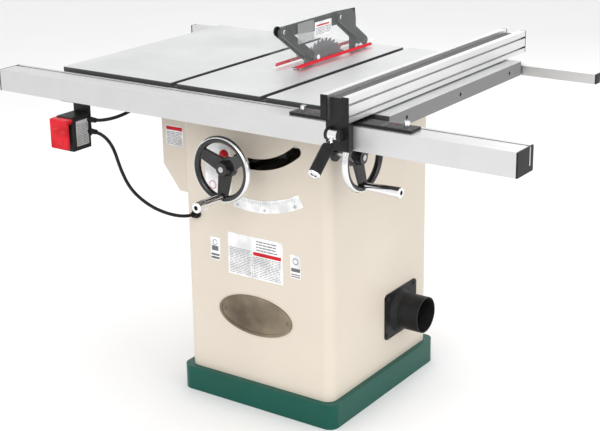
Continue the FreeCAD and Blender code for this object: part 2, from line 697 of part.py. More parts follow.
def shaft_bearing():
    """Flanged bearing of the tilt shaft in the cabinet's side."""
    half = size("cab_width") / 2
    y, z = size("tilt_y"), size("tilt_z")
    body = fused([drum(22, 6, (half, y, z), (1, 0, 0)), drum(15.6, 10, (half - 4, y, z), (1, 0, 0))])
    bore = drum(size("shaft_radius") + size("run_gap"), 40, (half - 20, y, z), (1, 0, 0))
    return node("shaft_bearing", shaped("shaft_bearing", body.cut(bore)))


def handwheel(name, centre, axis, up):
    """Three-spoke dished handwheel with a round rim, turned at a shaft end."""
    radius = size("wheel_radius")
    profile = Part.Face(Part.Wire(Part.makeCircle(9.5, Vector(radius - 9.5, 0, 0), Vector(0, 1, 0))))
    rim = profile.revolve(Vector(), Vector(0, 0, 1), 360)
    hub = Part.makeCone(27, 17, 34, Vector(0, 0, -30), Vector(0, 0, 1))
    solid = rim.fuse(hub)
    for index in range(3):
        outline = [(0, -21, -22), (0, 21, -22), (radius - 14, 14, -4), (radius - 14, -14, -4)]
        low = Part.Face(Part.makePolygon([Vector(*p) for p in outline + outline[:1]]))
        spoke = low.extrude(Vector(0, 0, 9))
        spoke.rotate(Vector(), Vector(0, 0, 1), 270 + 120 * index)
        solid = solid.fuse(spoke)
    solid = solid.cut(Part.makeCylinder(size("shaft_radius"), 60, Vector(0, 0, -40), Vector(0, 0, 1)))
    boss = Part.makeCylinder(10, 16, Vector(0, -(radius - 16), -8), Vector(0, 0, 1))
    solid = solid.fuse(boss)
    solid = solid.cut(Part.makeCylinder(5, 40, Vector(0, -(radius - 16), -20), Vector(0, 0, 1)))
    turn = Rotation(Vector(*up).cross(Vector(*axis)), Vector(*up), Vector(*axis), "ZXY")
    return shaped(name, solid.removeSplitter(), FreeCAD.Placement(Vector(*centre), turn))


def height_wheel():
    """Front handwheel, which raises the blade."""
    centre = (size("height_x"), size("wheel_front"), size("height_z"))
    return node("height_wheel", handwheel("height_wheel", centre, (0, -1, 0), (0, 0, 1)))


def tilt_wheel():
    """Side handwheel, which tilts the blade."""
    centre = (size("tilt_wheel_x"), size("tilt_y"), size("tilt_z"))
    return node("tilt_wheel", handwheel("tilt_wheel", centre, (1, 0, 0), (0, 0, 1)))


def handle(name, foot, axis):
    """Turned handle on its own stud, free to spin."""
    start, way = Vector(*foot), Vector(*axis)
    stud = Part.makeCylinder(4.95, 24, start - way * 14, way)
    gap = 10.2
    grip = Part.makeCone(9.5, 14, 74, start + way * gap, way)
    tail = Part.makeCylinder(14, 26, start + way * (gap + 74), way)
    end = [edge for edge in tail.Edges if edge.Curve.TypeId == "Part::GeomCircle"
           and (edge.Curve.Center - start).dot(way) > gap + 92]
    tail = tail.makeFillet(3, end)
    solid = fused([stud, grip, tail])
    solid = solid.cut(Part.makeCylinder(6, 12, start + way * (gap + 90), way))
    return node(name, shaped(name, solid))


def height_handle():
    """Spinning handle of the front handwheel."""
    z = size("height_z") - size("wheel_radius") + 16
    return handle("height_handle", (size("height_x"), size("wheel_front"), z), (0, -1, 0))


def tilt_handle():
    """Spinning handle of the side handwheel."""
    z = size("tilt_z") - size("wheel_radius") + 16
    return handle("tilt_handle", (size("tilt_wheel_x"), size("tilt_y"), z), (1, 0, 0))


# ---- arbor, blade and motor ----

def arbor_arm():
    """Cast arm with its pivot hub, arbor housing, worm sector and motor plate."""
    py, pz, ay, az = size("pivot_y"), size("pivot_z"), size("arbor_y"), size("arbor_z")
    x = BLADE_X
    pieces = [drum(22, 94, (x - 112, py, pz), (1, 0, 0)), drum(30, 46, (x - 58, ay, az), (1, 0, 0))]
    web = prism_x([(py, pz + 20), (ay, az + 26), (ay, az - 26), (py, pz - 20)], x - 55, x - 27)
    pieces.append(web)
    out = pz - size("height_z") - size("worm_radius") - 0.5
    fan = Part.makeCylinder(out - 5, 16, Vector(x - 38, py, pz), Vector(1, 0, 0))
    corners = [(py, pz)]
    for angle in (-14, 9, 32):
        corners.append((py + 300 * math.sin(math.radians(angle)), pz - 300 * math.cos(math.radians(angle))))
    pieces.append(fan.common(prism_x(corners, x - 38, x - 22)))
    ring = Part.makeCylinder(out, 16, Vector(x - 38, py, pz), Vector(1, 0, 0))
    for index in range(14):
        angle = -13 + index * 44 / 13
        tooth = [(py, pz)]
        for side in (-0.9, 0.9):
            turn = math.radians(angle + side)
            tooth.append((py + 300 * math.sin(turn), pz - 300 * math.cos(turn)))
        pieces.append(ring.common(prism_x(tooth, x - 38, x - 22)))
    my, mz = size("motor_y"), size("motor_z")
    plate = prism_x([(py - 30, pz + 14), (py + 30, pz + 14), (my + 56, mz - 50), (my - 56, mz - 50)],
                    x - 112, x - 104)
    pieces.append(plate)
    solid = fused(pieces)
    solid = solid.cut(drum(size("worm_radius") + size("run_gap"), 150, (x - 130, py, pz), (1, 0, 0)))
    solid = solid.cut(drum(16, 80, (x - 70, ay, az), (1, 0, 0)))
    solid = solid.cut(drum(14, 30, (x - 120, my, mz), (1, 0, 0)))
    return node("arbor_arm", shaped("arbor_arm", solid))


def arbor_bearings():
    """Two ball bearings in the arbor housing, as plain rings."""
    pieces = []
    for index, start in enumerate((BLADE_X - 57, BLADE_X - 25)):
        ring = drum(16, 12, (start, size("arbor_y"), size("arbor_z")), (1, 0, 0))
        bore = drum(size("bore_radius") + size("run_gap"), 14, (start - 1, size("arbor_y"),
                size("arbor_z")), (1, 0, 0))
        pieces.append(shaped("arbor_bearing_%d" % (index + 1), ring.cut(bore)))
    return node("arbor_bearings", grouped("arbor_bearings", pieces))


def arbor_shaft():
    """Arbor with its fixed flange."""
    y, z = size("arbor_y"), size("arbor_z")
    start = size("belt_x") - size("belt_width") / 2 - 3
    shaft = drum(size("bore_radius"), BLADE_X + 20 - start, (start, y, z), (1, 0, 0))
    half = size("blade_thick") / 2
    flange = drum(25, 8, (BLADE_X - half - 8, y, z), (1, 0, 0))
    return node("arbor_shaft", shaped("arbor_shaft", shaft.fuse(flange)))


def saw_blade():
    """Forty-tooth blade with gullets and a bore."""
    y, z, r = size("arbor_y"), size("arbor_z"), size("blade_radius")
    half = size("blade_thick") / 2
    teeth = 40
    pitch = 2 * math.pi / teeth
    points = []
    for index in range(teeth):
        base = index * pitch
        for share, depth in ((0.0, 0.0), (0.16, 1.2), (0.5, 5.5), (0.78, 9.5), (0.97, 9.0)):
            angle = base + share * pitch
            points.append((y + (r - depth) * math.cos(angle), z + (r - depth) * math.sin(angle)))
    body = prism_x(points, BLADE_X - half, BLADE_X + half)
    return node("saw_blade", shaped("saw_blade", body.cut(drum(size("bore_radius"), 10, (BLADE_X - 5, y,
            z), (1, 0, 0)))))


def blade_clamp():
    """Loose flange and nut that clamp the blade."""
    y, z = size("arbor_y"), size("arbor_z")
    half = size("blade_thick") / 2
    flange = drum(25, 8, (BLADE_X + half, y, z), (1, 0, 0))
    nut = hexagon(12, 11, (BLADE_X + half + 8, y, z), (1, 0, 0))
    bore = drum(size("bore_radius"), 40, (BLADE_X, y, z), (1, 0, 0))
    return node("blade_clamp", shaped("blade_clamp", fused([flange, nut]).cut(bore)))


def pulley(name, y, z, radius, bore):
    """A flat ribbed-belt pulley with two lips."""
    start = size("belt_x") - size("belt_width") / 2
    body = drum(radius, size("belt_width"), (start, y, z), (1, 0, 0))
    lips = [drum(radius + 3, 1.6, (start + shift, y, z), (1, 0, 0)) for shift in (-1.6, size("belt_width"))]
    return shaped(name, fused([body] + lips).cut(drum(bore, 60, (start - 20, y, z), (1, 0, 0))))


def arbor_pulley():
    """Pulley on the arbor."""
    body = pulley("arbor_pulley", size("arbor_y"), size("arbor_z"), size("arbor_pulley_radius"),
                  size("bore_radius"))
    return node("arbor_pulley", body)


def motor_pulley():
    """Pulley on the motor shaft, with the shaft end."""
    body = pulley("motor_pulley", size("motor_y"), size("motor_z"), size("motor_pulley_radius"), 0.5)
    start = size("belt_x") + size("belt_width") / 2 + 1.6
    shaft = drum(8, 24, (start - 46, size("motor_y"), size("motor_z")), (1, 0, 0))
    whole = shaft.fuse(body.Shape)
    doc.removeObject(body.Name)
    return node("motor_pulley", shaped("motor_pulley", whole))


def drive_belt():
    """Ribbed belt round both pulleys."""
    a = Vector(0, size("arbor_y"), size("arbor_z"))
    b = Vector(0, size("motor_y"), size("motor_z"))
    ra = size("arbor_pulley_radius") + 0.4
    rb = size("motor_pulley_radius") + 0.4
    start = size("belt_x") - size("belt_width") / 2 + 0.6
    wide = size("belt_width") - 1.2

    def hull(extra):
        span = b - a
        angle = math.atan2(span.z, span.y)
        lean = math.acos((ra - rb) / span.Length)
        corners = []
        for centre, radius, side in ((a, ra, 1), (b, rb, 1), (b, rb, -1), (a, ra, -1)):
            turn = angle + side * lean
            corners.append((centre.y + (radius + extra) * math.cos(turn),
                            centre.z + (radius + extra) * math.sin(turn)))
        loop = prism_x(corners, start, start + wide)
        for centre, radius in ((a, ra), (b, rb)):
            loop = loop.fuse(drum(radius + extra, wide, (start, centre.y, centre.z), (1, 0, 0)))
        return loop

    return node("drive_belt", shaped("drive_belt", hull(size("belt_thick")).cut(hull(0)).removeSplitter()))


def motor():
    """Induction motor with end bells and a capacitor hump."""
    y, z, r = size("motor_y"), size("motor_z"), size("motor_radius")
    x1 = BLADE_X - 112.2
    x0 = x1 - size("motor_length")
    body = drum(r - 3, size("motor_length"), (x0, y, z), (1, 0, 0))
    bells = [drum(r, 22, (x0, y, z), (1, 0, 0)), drum(r, 22, (x1 - 22, y, z), (1, 0, 0))]
    tail = Part.makeCone(r - 10, r, 14, Vector(x0 - 14, y, z), Vector(1, 0, 0))
    ribs = [block(x0 + 22, x1 - 22, y - 1.5, y + 1.5, z - r, z + r), block(x0 + 22, x1 - 22, y - r, y + r,
            z - 1.5, z + 1.5)]
    hump = block(x0 + 40, x1 - 40, y - 26, y + 26, z - r - 16, z - r + 14)
    solid = fused([body, tail, hump] + bells + ribs)
    return node("motor", shaped("motor", solid.cut(drum(8.1, 30, (x1 - 24, y, z), (1, 0, 0)))))


# ---- guard ----

def guard_pivots():
    """Fixed and moving pivots of the front and rear links, in Y and Z."""
    front = (size("guard_front_y"), size("guard_front_z"))
    rear = (front[0] + size("guard_span"), front[1] - size("guard_drop"))
    return [(fixed, (fixed[0] + size("link_run"), fixed[1] - size("link_fall"))) for fixed in (front, rear)]


def guard_spine():
    """Riving knife and guard bar in the blade's plane, with both link pins."""
    half = size("blade_thick") / 2
    y0 = size("spine_front")
    y1 = y0 + size("spine_width")
    front = guard_pivots()[0][0]
    rear = guard_pivots()[1][0]
    bar_low = front[1] - 24
    outline = [(y0, TOP - 78), (y1, TOP - 78), (y1, TOP - 8), (y1 + 9, TOP + 12), (y1 + 9, bar_low),
               (y1 + 4, rear[1] + 12), (rear[0], rear[1] + 16),
               (front[0], front[1] + 12), (front[0] - 14, front[1]), (front[0] - 8, front[1] - 14), (30,
                       bar_low),
               (y0 - 14, bar_low), (y0, bar_low - 16)]
    plate = prism_x(outline, BLADE_X - half, BLADE_X + half)
    pins = [drum(4, 32, (BLADE_X - 16, y, z), (1, 0, 0)) for y, z in (front, rear)]
    return node("guard_spine", shaped("guard_spine", fused([plate] + pins)))


def knife_bolts():
    """Two bolts that hold the riving knife to the rear web."""
    half = size("blade_thick") / 2
    y = size("rear_web_y") + size("rear_web_thick") / 2 + 2
    spots = [(BLADE_X - half, y, TOP - 70), (BLADE_X - half, y, TOP - 54)]
    return screw_heads("knife_bolts", spots, (-1, 0, 0), 4.5, 3.5)


def guard_link(name, side, fixed, moving):
    """One link plate with round ends and two pin holes."""
    offset, thick, end = size("link_offset"), size("link_thick"), size("link_end")
    x0 = BLADE_X + offset if side > 0 else BLADE_X - offset - thick
    run, fall = moving[0] - fixed[0], moving[1] - fixed[1]
    long = math.hypot(run, fall)
    ny, nz = -fall / long * end, run / long * end
    outline = [(fixed[0] + ny, fixed[1] + nz), (moving[0] + ny, moving[1] + nz),
               (moving[0] - ny, moving[1] - nz), (fixed[0] - ny, fixed[1] - nz)]
    solid = prism_x(outline, x0, x0 + thick)
    holes = []
    for y, z in (fixed, moving):
        solid = solid.fuse(drum(end, thick, (x0, y, z), (1, 0, 0)))
        holes.append(drum(4 + size("run_gap"), thick + 4, (x0 - 2, y, z), (1, 0, 0)))
    return node(name, shaped(name, solid.cut(holes).removeSplitter()))


def shield(name, side):
    """Clear side shield with two inward pins."""
    offset, thick = size("shield_offset"), size("shield_thick")
    x0 = BLADE_X + offset if side > 0 else BLADE_X - offset - thick
    front, rear = guard_pivots()
    foot = TOP + 4
    nose = front[0][0]
    tail = rear[1][0]
    high = front[0][1] + 29
    outline = [(nose + 17, foot), (tail + 10, foot), (tail + 10, foot + 22), (tail - 20, foot + 58),
               (tail - 93, high - 14), (tail - 150, high), (nose - 15, high), (nose - 37, high - 5),
               (nose - 50, high - 20), (nose - 47, high - 42), (nose - 29, high - 58), (nose + 9, foot + 15)]
    solid = prism_x(outline, x0, x0 + thick)
    edges = [edge for edge in solid.Edges if abs(edge.tangentAt(edge.FirstParameter).x) > 0.9]
    solid = solid.makeFillet(6, edges)
    reach = offset - size("link_offset") + 0.5
    start = x0 if side > 0 else x0 + thick
    for pivot in (front[1], rear[1]):
        solid = solid.fuse(drum(4, reach, (start, pivot[0], pivot[1]), (-side, 0, 0)))
        outside = x0 + thick if side > 0 else x0
        solid = solid.fuse(drum(8, 2, (outside, pivot[0], pivot[1]), (side, 0, 0)))
    return node(name, shaped(name, solid))


# ---- fence ----

def fence_beam():
    """Central steel tube of the fence, with its rear foot."""
    x = size("fence_x")
    half = size("fence_width") / 2 - size("fence_face")
    y0, y1 = size("fence_front") + 24, size("fence_front") + size("fence_length")
    low, high = TOP + 1, TOP + size("fence_lift") + size("fence_height") - 9
    tube = block(x - half, x + half, y0, y1 - 6, low, high)
    tube = tube.cut(block(x - half + 3, x + half - 3, y0 - 1, y1, low + 3, high - 3))
    rail_y = size("table_front") + size("table_depth") + size("rear_rail_gap")
    rail_top = size("rear_rail_low") + size("rear_rail_height")
    foot = block(x - 10, x + 10, rail_y + 3, rail_y + size("rear_rail_depth") - 3, rail_top + 0.5, low + 1)
    return node("fence_beam", shaped("fence_beam", tube.fuse(foot)))


def fence_faces():
    """Two extruded faces with two T-grooves each."""
    x = size("fence_x")
    half, thick = size("fence_width") / 2, size("fence_face")
    y0, y1 = size("fence_front"), size("fence_front") + size("fence_length")
    low = TOP + size("fence_lift")
    faces = []
    for index, side in enumerate((-1, 1)):
        inner, outer = sorted((x + side * (half - thick), x + side * half))
        body = block(inner, outer, y0, y1, low, low + size("fence_height"))
        skin = outer if side > 0 else inner
        for z in (low + 14, low + 41):
            mouth = sorted((skin - side * 3, skin + side))
            room = sorted((skin - side * 8, skin - side * 3))
            body = body.cut(block(mouth[0], mouth[1], y0 - 1, y1 + 1, z - 2.6, z + 2.6))
            body = body.cut(block(room[0], room[1], y0 - 1, y1 + 1, z - 5, z + 5))
        faces.append(shaped("fence_face_%d" % (index + 1), body))
    return node("fence_faces", grouped("fence_faces", faces))


def fence_caps():
    """Moulded caps on both ends of both faces."""
    caps = []
    ends = ("fence_front - 4", "fence_front + fence_length")
    for index, x in enumerate(("fence_x - fence_width / 2", "fence_x + fence_width / 2 - fence_face")):
        for other, y in enumerate(ends):
            caps.append(box("fence_cap_%d" % (index * 2 + other + 1), "fence_face", 4, "fence_height", x, y,
                            "table_top + fence_lift"))
    return node("fence_caps", grouped("fence_caps", caps))


def lever_pivot():
    """Pivot of the lock lever in Y and Z."""
    return size("fence_front") + 8, size("table_top") - 26


def fence_head():
    """T-shaped head on the rail, with the clamp plate and the lever's ears."""
    x = size("fence_x")
    half_beam = size("fence_width") / 2 - size("fence_face")
    front = size("rail_front")
    top = size("rail_low") + size("rail_height")
    bar = block(x - size("tee_left"), x + size("tee_right"), front + 12, front + 56, top + 0.5,
                top + 0.5 + size("tee_thick"))
    plate = block(x - 31, x + 31, front - 17, front - 1, top - 58, TOP + 1)
    neck = block(x - half_beam, x + half_beam, front - 17, front + 30, top + 0.5, TOP + 1)
    upright = block(x - half_beam, x + half_beam, front - 17, size("fence_front") + 24, TOP, TOP + 56)
    y, z = lever_pivot()
    pieces = [bar, plate, neck, upright]
    for side in (-1, 1):
        ear_x = sorted((x + side * 13, x + side * 19.5))
        pieces.append(block(ear_x[0], ear_x[1], y - 12, front - 16, z - 14, z + 14))
        pieces.append(drum(14, 6.5, (ear_x[0], y - 12, z), (1, 0, 0)))
    solid = fused(pieces)
    body = shaped("fence_head_body", solid.cut(drum(5, 60, (x - 30, y - 12, z), (1, 0, 0))))
    return node("fence_head", grouped("fence_head", [body, lever_pin()]))


def lever_pin():
    """Hinge pin of the lock lever."""
    y, z = lever_pivot()
    pin = rod("lever_pin", 5, 43, "fence_x - 21.5", y - 12, z, "x")
    return pin


LEVER_WAY = Vector(0, -0.754, -0.657)


def fence_lever():
    """Lock lever: cam hub, stem and collar."""
    y, z = lever_pivot()
    x = size("fence_x")
    root = Vector(x, y - 12, z)
    hub = drum(12, 25, (x - 12.5, root.y, root.z), (1, 0, 0))
    stem = Part.makeCylinder(6, 24, root + LEVER_WAY * 8, LEVER_WAY)
    collar = Part.makeCone(8, 13, 10, root + LEVER_WAY * 22, LEVER_WAY)
    tang = Part.makeCylinder(5, 80, root + LEVER_WAY * 30, LEVER_WAY)
    solid = fused([hub, stem, collar, tang])
    return node("fence_lever", shaped("fence_lever", solid.cut(drum(5.05, 60, (x - 30, root.y, root.z), (1,
            0, 0)))))


def fence_grip():
    """Ribbed grip on the lever, with its end ring."""
    y, z = lever_pivot()
    root = Vector(size("fence_x"), y - 12, z)
    start = root + LEVER_WAY * 32.2
    grip = Part.makeCylinder(14, 76, start, LEVER_WAY)
    ring = Part.makeCylinder(15, 5, start + LEVER_WAY * 76, LEVER_WAY)
    hole = Part.makeCylinder(5.1, 90, start - LEVER_WAY, LEVER_WAY)
    return node("fence_grip", shaped("fence_grip", fused([grip, ring]).cut(hole)))


def cursor_windows():
    """Clear cursor windows at both ends of the T-bar."""
    panes = []
    for index, x in enumerate(("fence_x - tee_left + 6", "fence_x + tee_right - 76")):
        panes.append(box("cursor_window_%d" % (index + 1), 70, 40, 3, x, "rail_front + 14",
                         "rail_low + rail_height + tee_thick + 0.5"))
    return node("cursor_windows", grouped("cursor_windows", panes))


def cursor_knobs():
    """Knurled screws that hold the cursor windows."""
    knobs = []
    for index, x in enumerate(("fence_x - tee_left + 24", "fence_x + tee_right - 24")):
        knobs.append(rod("cursor_knob_%d" % (index + 1), 7, 10, x, "rail_front + 36",
                         "rail_low + rail_height + tee_thick + 3.5"))
    return node("cursor_knobs", grouped("cursor_knobs", knobs))


# ---- switch ----

def switch_bracket():
    """Bent bracket from the underside of the rail to the back of the switch."""
    foot = box("switch_bracket_foot", "switch_width", 50, 3, "switch_left", "switch_back - 47",
               "rail_low - 3")
    back = box("switch_bracket_back", "switch_width", 3, "rail_low - switch_low - 30", "switch_left",
               "switch_back",
               "switch_low + 30")
    return joined("switch_bracket", [foot, back])


PADDLE_PIN = (3.4, 77.5)


def switch_box():
    """Switch housing with a well for its start button and two ears for the stop paddle."""
    x0, y1, z0 = size("switch_left"), size("switch_back"), size("switch_low")
    wide, tall = size("switch_width"), size("switch_height")
    front = y1 - size("switch_depth")
    solid = block(x0, x0 + wide, front, y1, z0, z0 + tall)
    solid = solid.makeFillet(3, solid.Edges)
    solid = solid.cut(drum(9.5, 7, (x0 - 2, (front + y1) / 2, z0 + tall / 2), (1, 0, 0)))
    pin_y, pin_z = front - PADDLE_PIN[0], z0 + PADDLE_PIN[1]
    for x in (x0 + 6, x0 + wide - 10):
        solid = solid.fuse(block(x, x + 4, pin_y - 3.6, front + 1, pin_z - 4, pin_z + 3.7))
    solid = solid.cut(drum(3, wide, (x0, pin_y, pin_z), (1, 0, 0)).cut(block(x0, x0 + wide, front, y1, z0,
            z0 + tall)))
    return node("switch_box", shaped("switch_box", solid))


def stop_paddle():
    """Large stop paddle, hinged at its top edge."""
    x0 = size("switch_left")
    front = size("switch_back") - size("switch_depth")
    low, high = size("switch_low") + 10, size("switch_low") + size("switch_height") - 3
    wide = size("switch_width")
    plate = block(x0 - 1, x0 + wide + 1, front - 22, front - 15, low, high)
    dome = Part.makeCone(24, 19, 5, Vector(x0 + wide / 2, front - 22, (low + high) / 2 - 4), Vector(0, -1, 0))
    roof = block(x0 - 1, x0 + wide + 1, front - 16, front - 0.6, high - 7, high)
    pin_y, pin_z = front - PADDLE_PIN[0], size("switch_low") + PADDLE_PIN[1]
    pin = drum(2.6, wide - 8, (x0 + 4, pin_y, pin_z), (1, 0, 0))
    rib = block(x0 + 12, x0 + wide - 12, pin_y - 1.6, pin_y + 1.6, pin_z, high - 6)
    edges = [edge for edge in plate.Edges if abs(edge.tangentAt(edge.FirstParameter).y) > 0.9]
    plate = plate.makeFillet(3, edges)
    return node("stop_paddle", shaped("stop_paddle", fused([plate, dome, roof, pin, rib])))


def start_button():
    """Start button on the housing's left side."""
    button = rod("start_button", 9, 8.9, "switch_left - 8.4", "switch_back - switch_depth / 2",
                 "switch_low + switch_height / 2", "x")
    return node("start_button", button)


# ---- cords ----

def cord_tube(name, points, radius):
    """A round cord along straight runs joined by tangent arcs."""
    spots = [Vector(*point) for point in points]
    edges = []
    start = spots[0]
    tight = []
    for before, here, after in zip(spots, spots[1:], spots[2:]):
        back = (before - here).normalize()
        ahead = (after - here).normalize()
        turn = math.pi - back.getAngle(ahead)
        shorter = min((here - before).Length, (after - here).Length)
        bend = 0.45 * shorter / math.tan(turn / 2)
        tight.append(round(bend, 1))
        cut_back = 0.45 * shorter
        first = here + back * cut_back
        last = here + ahead * cut_back
        middle_way = (back + ahead).normalize()
        centre = here + middle_way * (bend / math.cos(turn / 2))
        middle = centre - middle_way * bend
        edges.append(Part.LineSegment(start, first).toShape())
        edges.append(Part.Arc(first, middle, last).toShape())
        start = last
    edges.append(Part.LineSegment(start, spots[-1]).toShape())
    path = Part.Wire(edges)
    way = (spots[1] - spots[0]).normalize()
    ring = Part.Wire(Part.makeCircle(radius, spots[0], way))
    tube = path.makePipeShell([ring], True, False)
    expected = math.pi * radius ** 2 * path.Length
    print(name, "length", round(path.Length), "radii", tight, "volume ratio", round(tube.Volume / expected,
            4))
    return node(name, shaped(name, tube))


def cord_glands():
    """Gland on the cabinet and two strain reliefs on the switch."""
    x, y, z = GLAND
    wall = size("cab_wall")
    gland = fused([drum(9.9, wall + 6, (x, y, z), (0, 1, 0)), drum(13, 8, (x, y, z), (0, -1, 0)),
                   Part.makeCone(11, 8, 12, Vector(x, y - 8, z), Vector(0, -1, 0))])
    gland = gland.cut(drum(size("cord_radius"), 60, (x, y - 30, z), (0, 1, 0)))
    pieces = [shaped("gland", gland)]
    for index, points in enumerate((MOTOR_CORD, POWER_CORD)):
        first = Vector(*points[0])
        sleeve = Part.makeCone(8, 6.4, 24, first, Vector(1, 0, 0))
        core = Part.makeCylinder(size("cord_radius"), 30, first - Vector(1, 0, 0), Vector(1, 0, 0))
        pieces.append(shaped("relief_%d" % (index + 1), sleeve.cut(core)))
    return node("cord_glands", grouped("cord_glands", pieces))


def power_cord_coil():
    """Outer shape of the coiled spare cord on the floor behind the cabinet."""
    mid, radius = size("coil_radius"), size("cord_radius")
    foot = Vector(size("coil_x"), size("coil_y"), 0.2)
    outer = Part.makeCylinder(mid + 2 * radius, size("coil_height"), foot)
    inner = Part.makeCylinder(mid - 2 * radius, size("coil_height"), foot)
    return node("power_cord_coil", shaped("power_cord_coil", outer.cut(inner)))


def power_plug():
    """Three-pin plug lying beside the coil."""
    x, y = size("coil_x") + size("coil_radius") + 2 * size("cord_radius") - 1, size("coil_y")
    z = 16.5
    body = Part.makeCone(8, 16, 34, Vector(x, y, z), Vector(1, 0, 0))
    disc = Part.makeCylinder(16.2, 14, Vector(x + 34, y, z), Vector(1, 0, 0))
    pieces = [body, disc]
    for shift in (-6, 6):
        pieces.append(block(x + 47, x + 66, y + shift - 0.8, y + shift + 0.8, z - 1, z + 5))
    pieces.append(drum(2.4, 20, (x + 47, y, z - 6), (1, 0, 0)))
    return node("power_plug", shaped("power_plug", fused(pieces)))


# ---- build, check and export ----

SIMPLE = [
    base_plinth, cabinet_shell, rear_panel, motor_cover, dust_port, dust_tray, main_table, throat_insert,
    front_rail, rear_rail, badge_plate, trunnion_brackets, front_trunnion, rear_trunnion, height_shaft,
    tilt_shaft, shaft_bearing, height_wheel, tilt_wheel, height_handle, tilt_handle, arbor_arm,
    arbor_bearings, arbor_shaft, saw_blade, blade_clamp, arbor_pulley, motor_pulley, drive_belt, motor,
    guard_spine, fence_beam, fence_faces, fence_caps, fence_head, fence_lever, fence_grip, cursor_windows,
    cursor_knobs, switch_box, stop_paddle, start_button, cord_glands, power_cord_coil, power_plug,
]


def build():
    """Make every sub-part."""
    for maker in SIMPLE:
        maker()
    wing("left_wing", size("main_left") - size("wing_width"), size("main_left") - size("wing_width"))
    right = size("main_left") + size("main_width")
    wing("right_wing", right, right + size("wing_width"))
    front = rail_caps("front_rail_caps", "rail_left", "rail_left + rail_length", "rail_front", "rail_low",
                      "rail_depth", "rail_height", "rail_cap")
    rear = rail_caps("rear_rail_caps", "rear_rail_left", "rear_rail_left + rear_rail_length",
                     "table_front + table_depth + rear_rail_gap", "rear_rail_low", "rear_rail_depth",
                     "rear_rail_height", "rail_cap")
    node("rail_caps", grouped("rail_caps", [front, rear]))
    fasteners = [cover_screws(), port_screws(), table_bolts(), wing_bolts(), rail_bolts(), scale_screws()]
    node("frame_fasteners", grouped("frame_fasteners", fasteners))
    node("rail_mounts", grouped("rail_mounts", [front_rail_bar(), rear_spacers(), switch_bracket()]))
    node("front_plates", grouped("front_plates", [scale_plate(), data_plates()]))
    node("carriage_rods", grouped("carriage_rods", [tie_bars(), arm_pin(), knife_bolts()]))
    for side, word in ((-1, "left"), (1, "right")):
        front, rear = guard_pivots()
        guard_link(word + "_front_link", side, front[0], front[1])
        guard_link(word + "_rear_link", side, rear[0], rear[1])
        shield(word + "_shield", side)
    cord_tube("motor_cord", MOTOR_CORD, size("cord_radius"))
    cord_tube("power_cord", POWER_CORD, size("cord_radius"))


def check_and_write():
    """Stop on any failed object, then write one file for each node."""
    doc.recompute()
    for thing in doc.Objects:
        if "Invalid" in thing.State or "Error" in thing.State:
            raise RuntimeError("%s failed: %s" % (thing.Name, thing.State))
    for thing in NODES:
        shape = thing.Shape
        if shape.isNull() or not shape.isValid():
            raise RuntimeError("%s has a bad shape" % thing.Label)
    os.makedirs("parts", exist_ok=True)
    for thing in NODES:
        thing.Shape.exportStep("parts/%s.step" % thing.Label)
    print("nodes", len(NODES))


build()
check_and_write()
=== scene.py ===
import json
import math

import bmesh
import bpy
from mathutils import Matrix, Vector


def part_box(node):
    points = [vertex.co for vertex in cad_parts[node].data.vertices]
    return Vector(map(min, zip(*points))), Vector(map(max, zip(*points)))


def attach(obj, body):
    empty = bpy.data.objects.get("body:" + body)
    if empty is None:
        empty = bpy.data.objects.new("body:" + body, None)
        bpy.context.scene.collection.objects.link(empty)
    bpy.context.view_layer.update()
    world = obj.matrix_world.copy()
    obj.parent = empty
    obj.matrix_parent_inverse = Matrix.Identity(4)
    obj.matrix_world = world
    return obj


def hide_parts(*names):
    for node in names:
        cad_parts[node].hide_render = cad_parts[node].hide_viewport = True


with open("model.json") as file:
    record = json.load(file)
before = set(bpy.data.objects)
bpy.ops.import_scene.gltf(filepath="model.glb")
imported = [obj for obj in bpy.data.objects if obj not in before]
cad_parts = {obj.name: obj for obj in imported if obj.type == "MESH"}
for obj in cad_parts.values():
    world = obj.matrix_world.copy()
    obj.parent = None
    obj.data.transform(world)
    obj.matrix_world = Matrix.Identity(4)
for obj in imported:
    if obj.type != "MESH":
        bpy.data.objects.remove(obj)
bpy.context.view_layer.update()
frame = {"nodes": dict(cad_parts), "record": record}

bl_info = {
    "name": "Cabinet Table Saw",
    "version": (1, 0, 0),
    "blender": (4, 5, 0),
    "location": "View3D > Sidebar > Table Saw",
    "description": "Finishes and small pieces of a cabinet table saw round its construction model",
    "category": "Object",
}

JOINTS = {joint["name"]: joint for joint in frame["record"]["behaviour"]["joints"]}
MM = 0.001
TILT = Vector(JOINTS["tilt"]["pos_m"])
TABLE_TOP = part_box("main_table")[1][2]
CABINET_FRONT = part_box("cabinet_shell")[0][1]
CABINET_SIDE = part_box("cabinet_shell")[1][0]
RIGHT_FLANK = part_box("right_wing")[1][0]

# colour sockets of a Mix node
MIX_A, MIX_B, MIX_RESULT = 6, 7, 2

# a wheel's rim is chrome from this radius outwards, in metres
RIM_RADIUS = 0.0826

# screws below this height and past the cabinet's side belong to the dust port
PORT_SCREWS_TOP = 0.5

# a face turned away from its neighbour by more than this is a sharp edge, in degrees
SHARP_EDGE = 40


# ---- node trees ----

def shader(name):
    """A fresh material, its tree and its main shader."""
    finish = bpy.data.materials.new(name)
    finish.use_nodes = True
    tree = finish.node_tree
    return finish, tree, tree.nodes["Principled BSDF"]


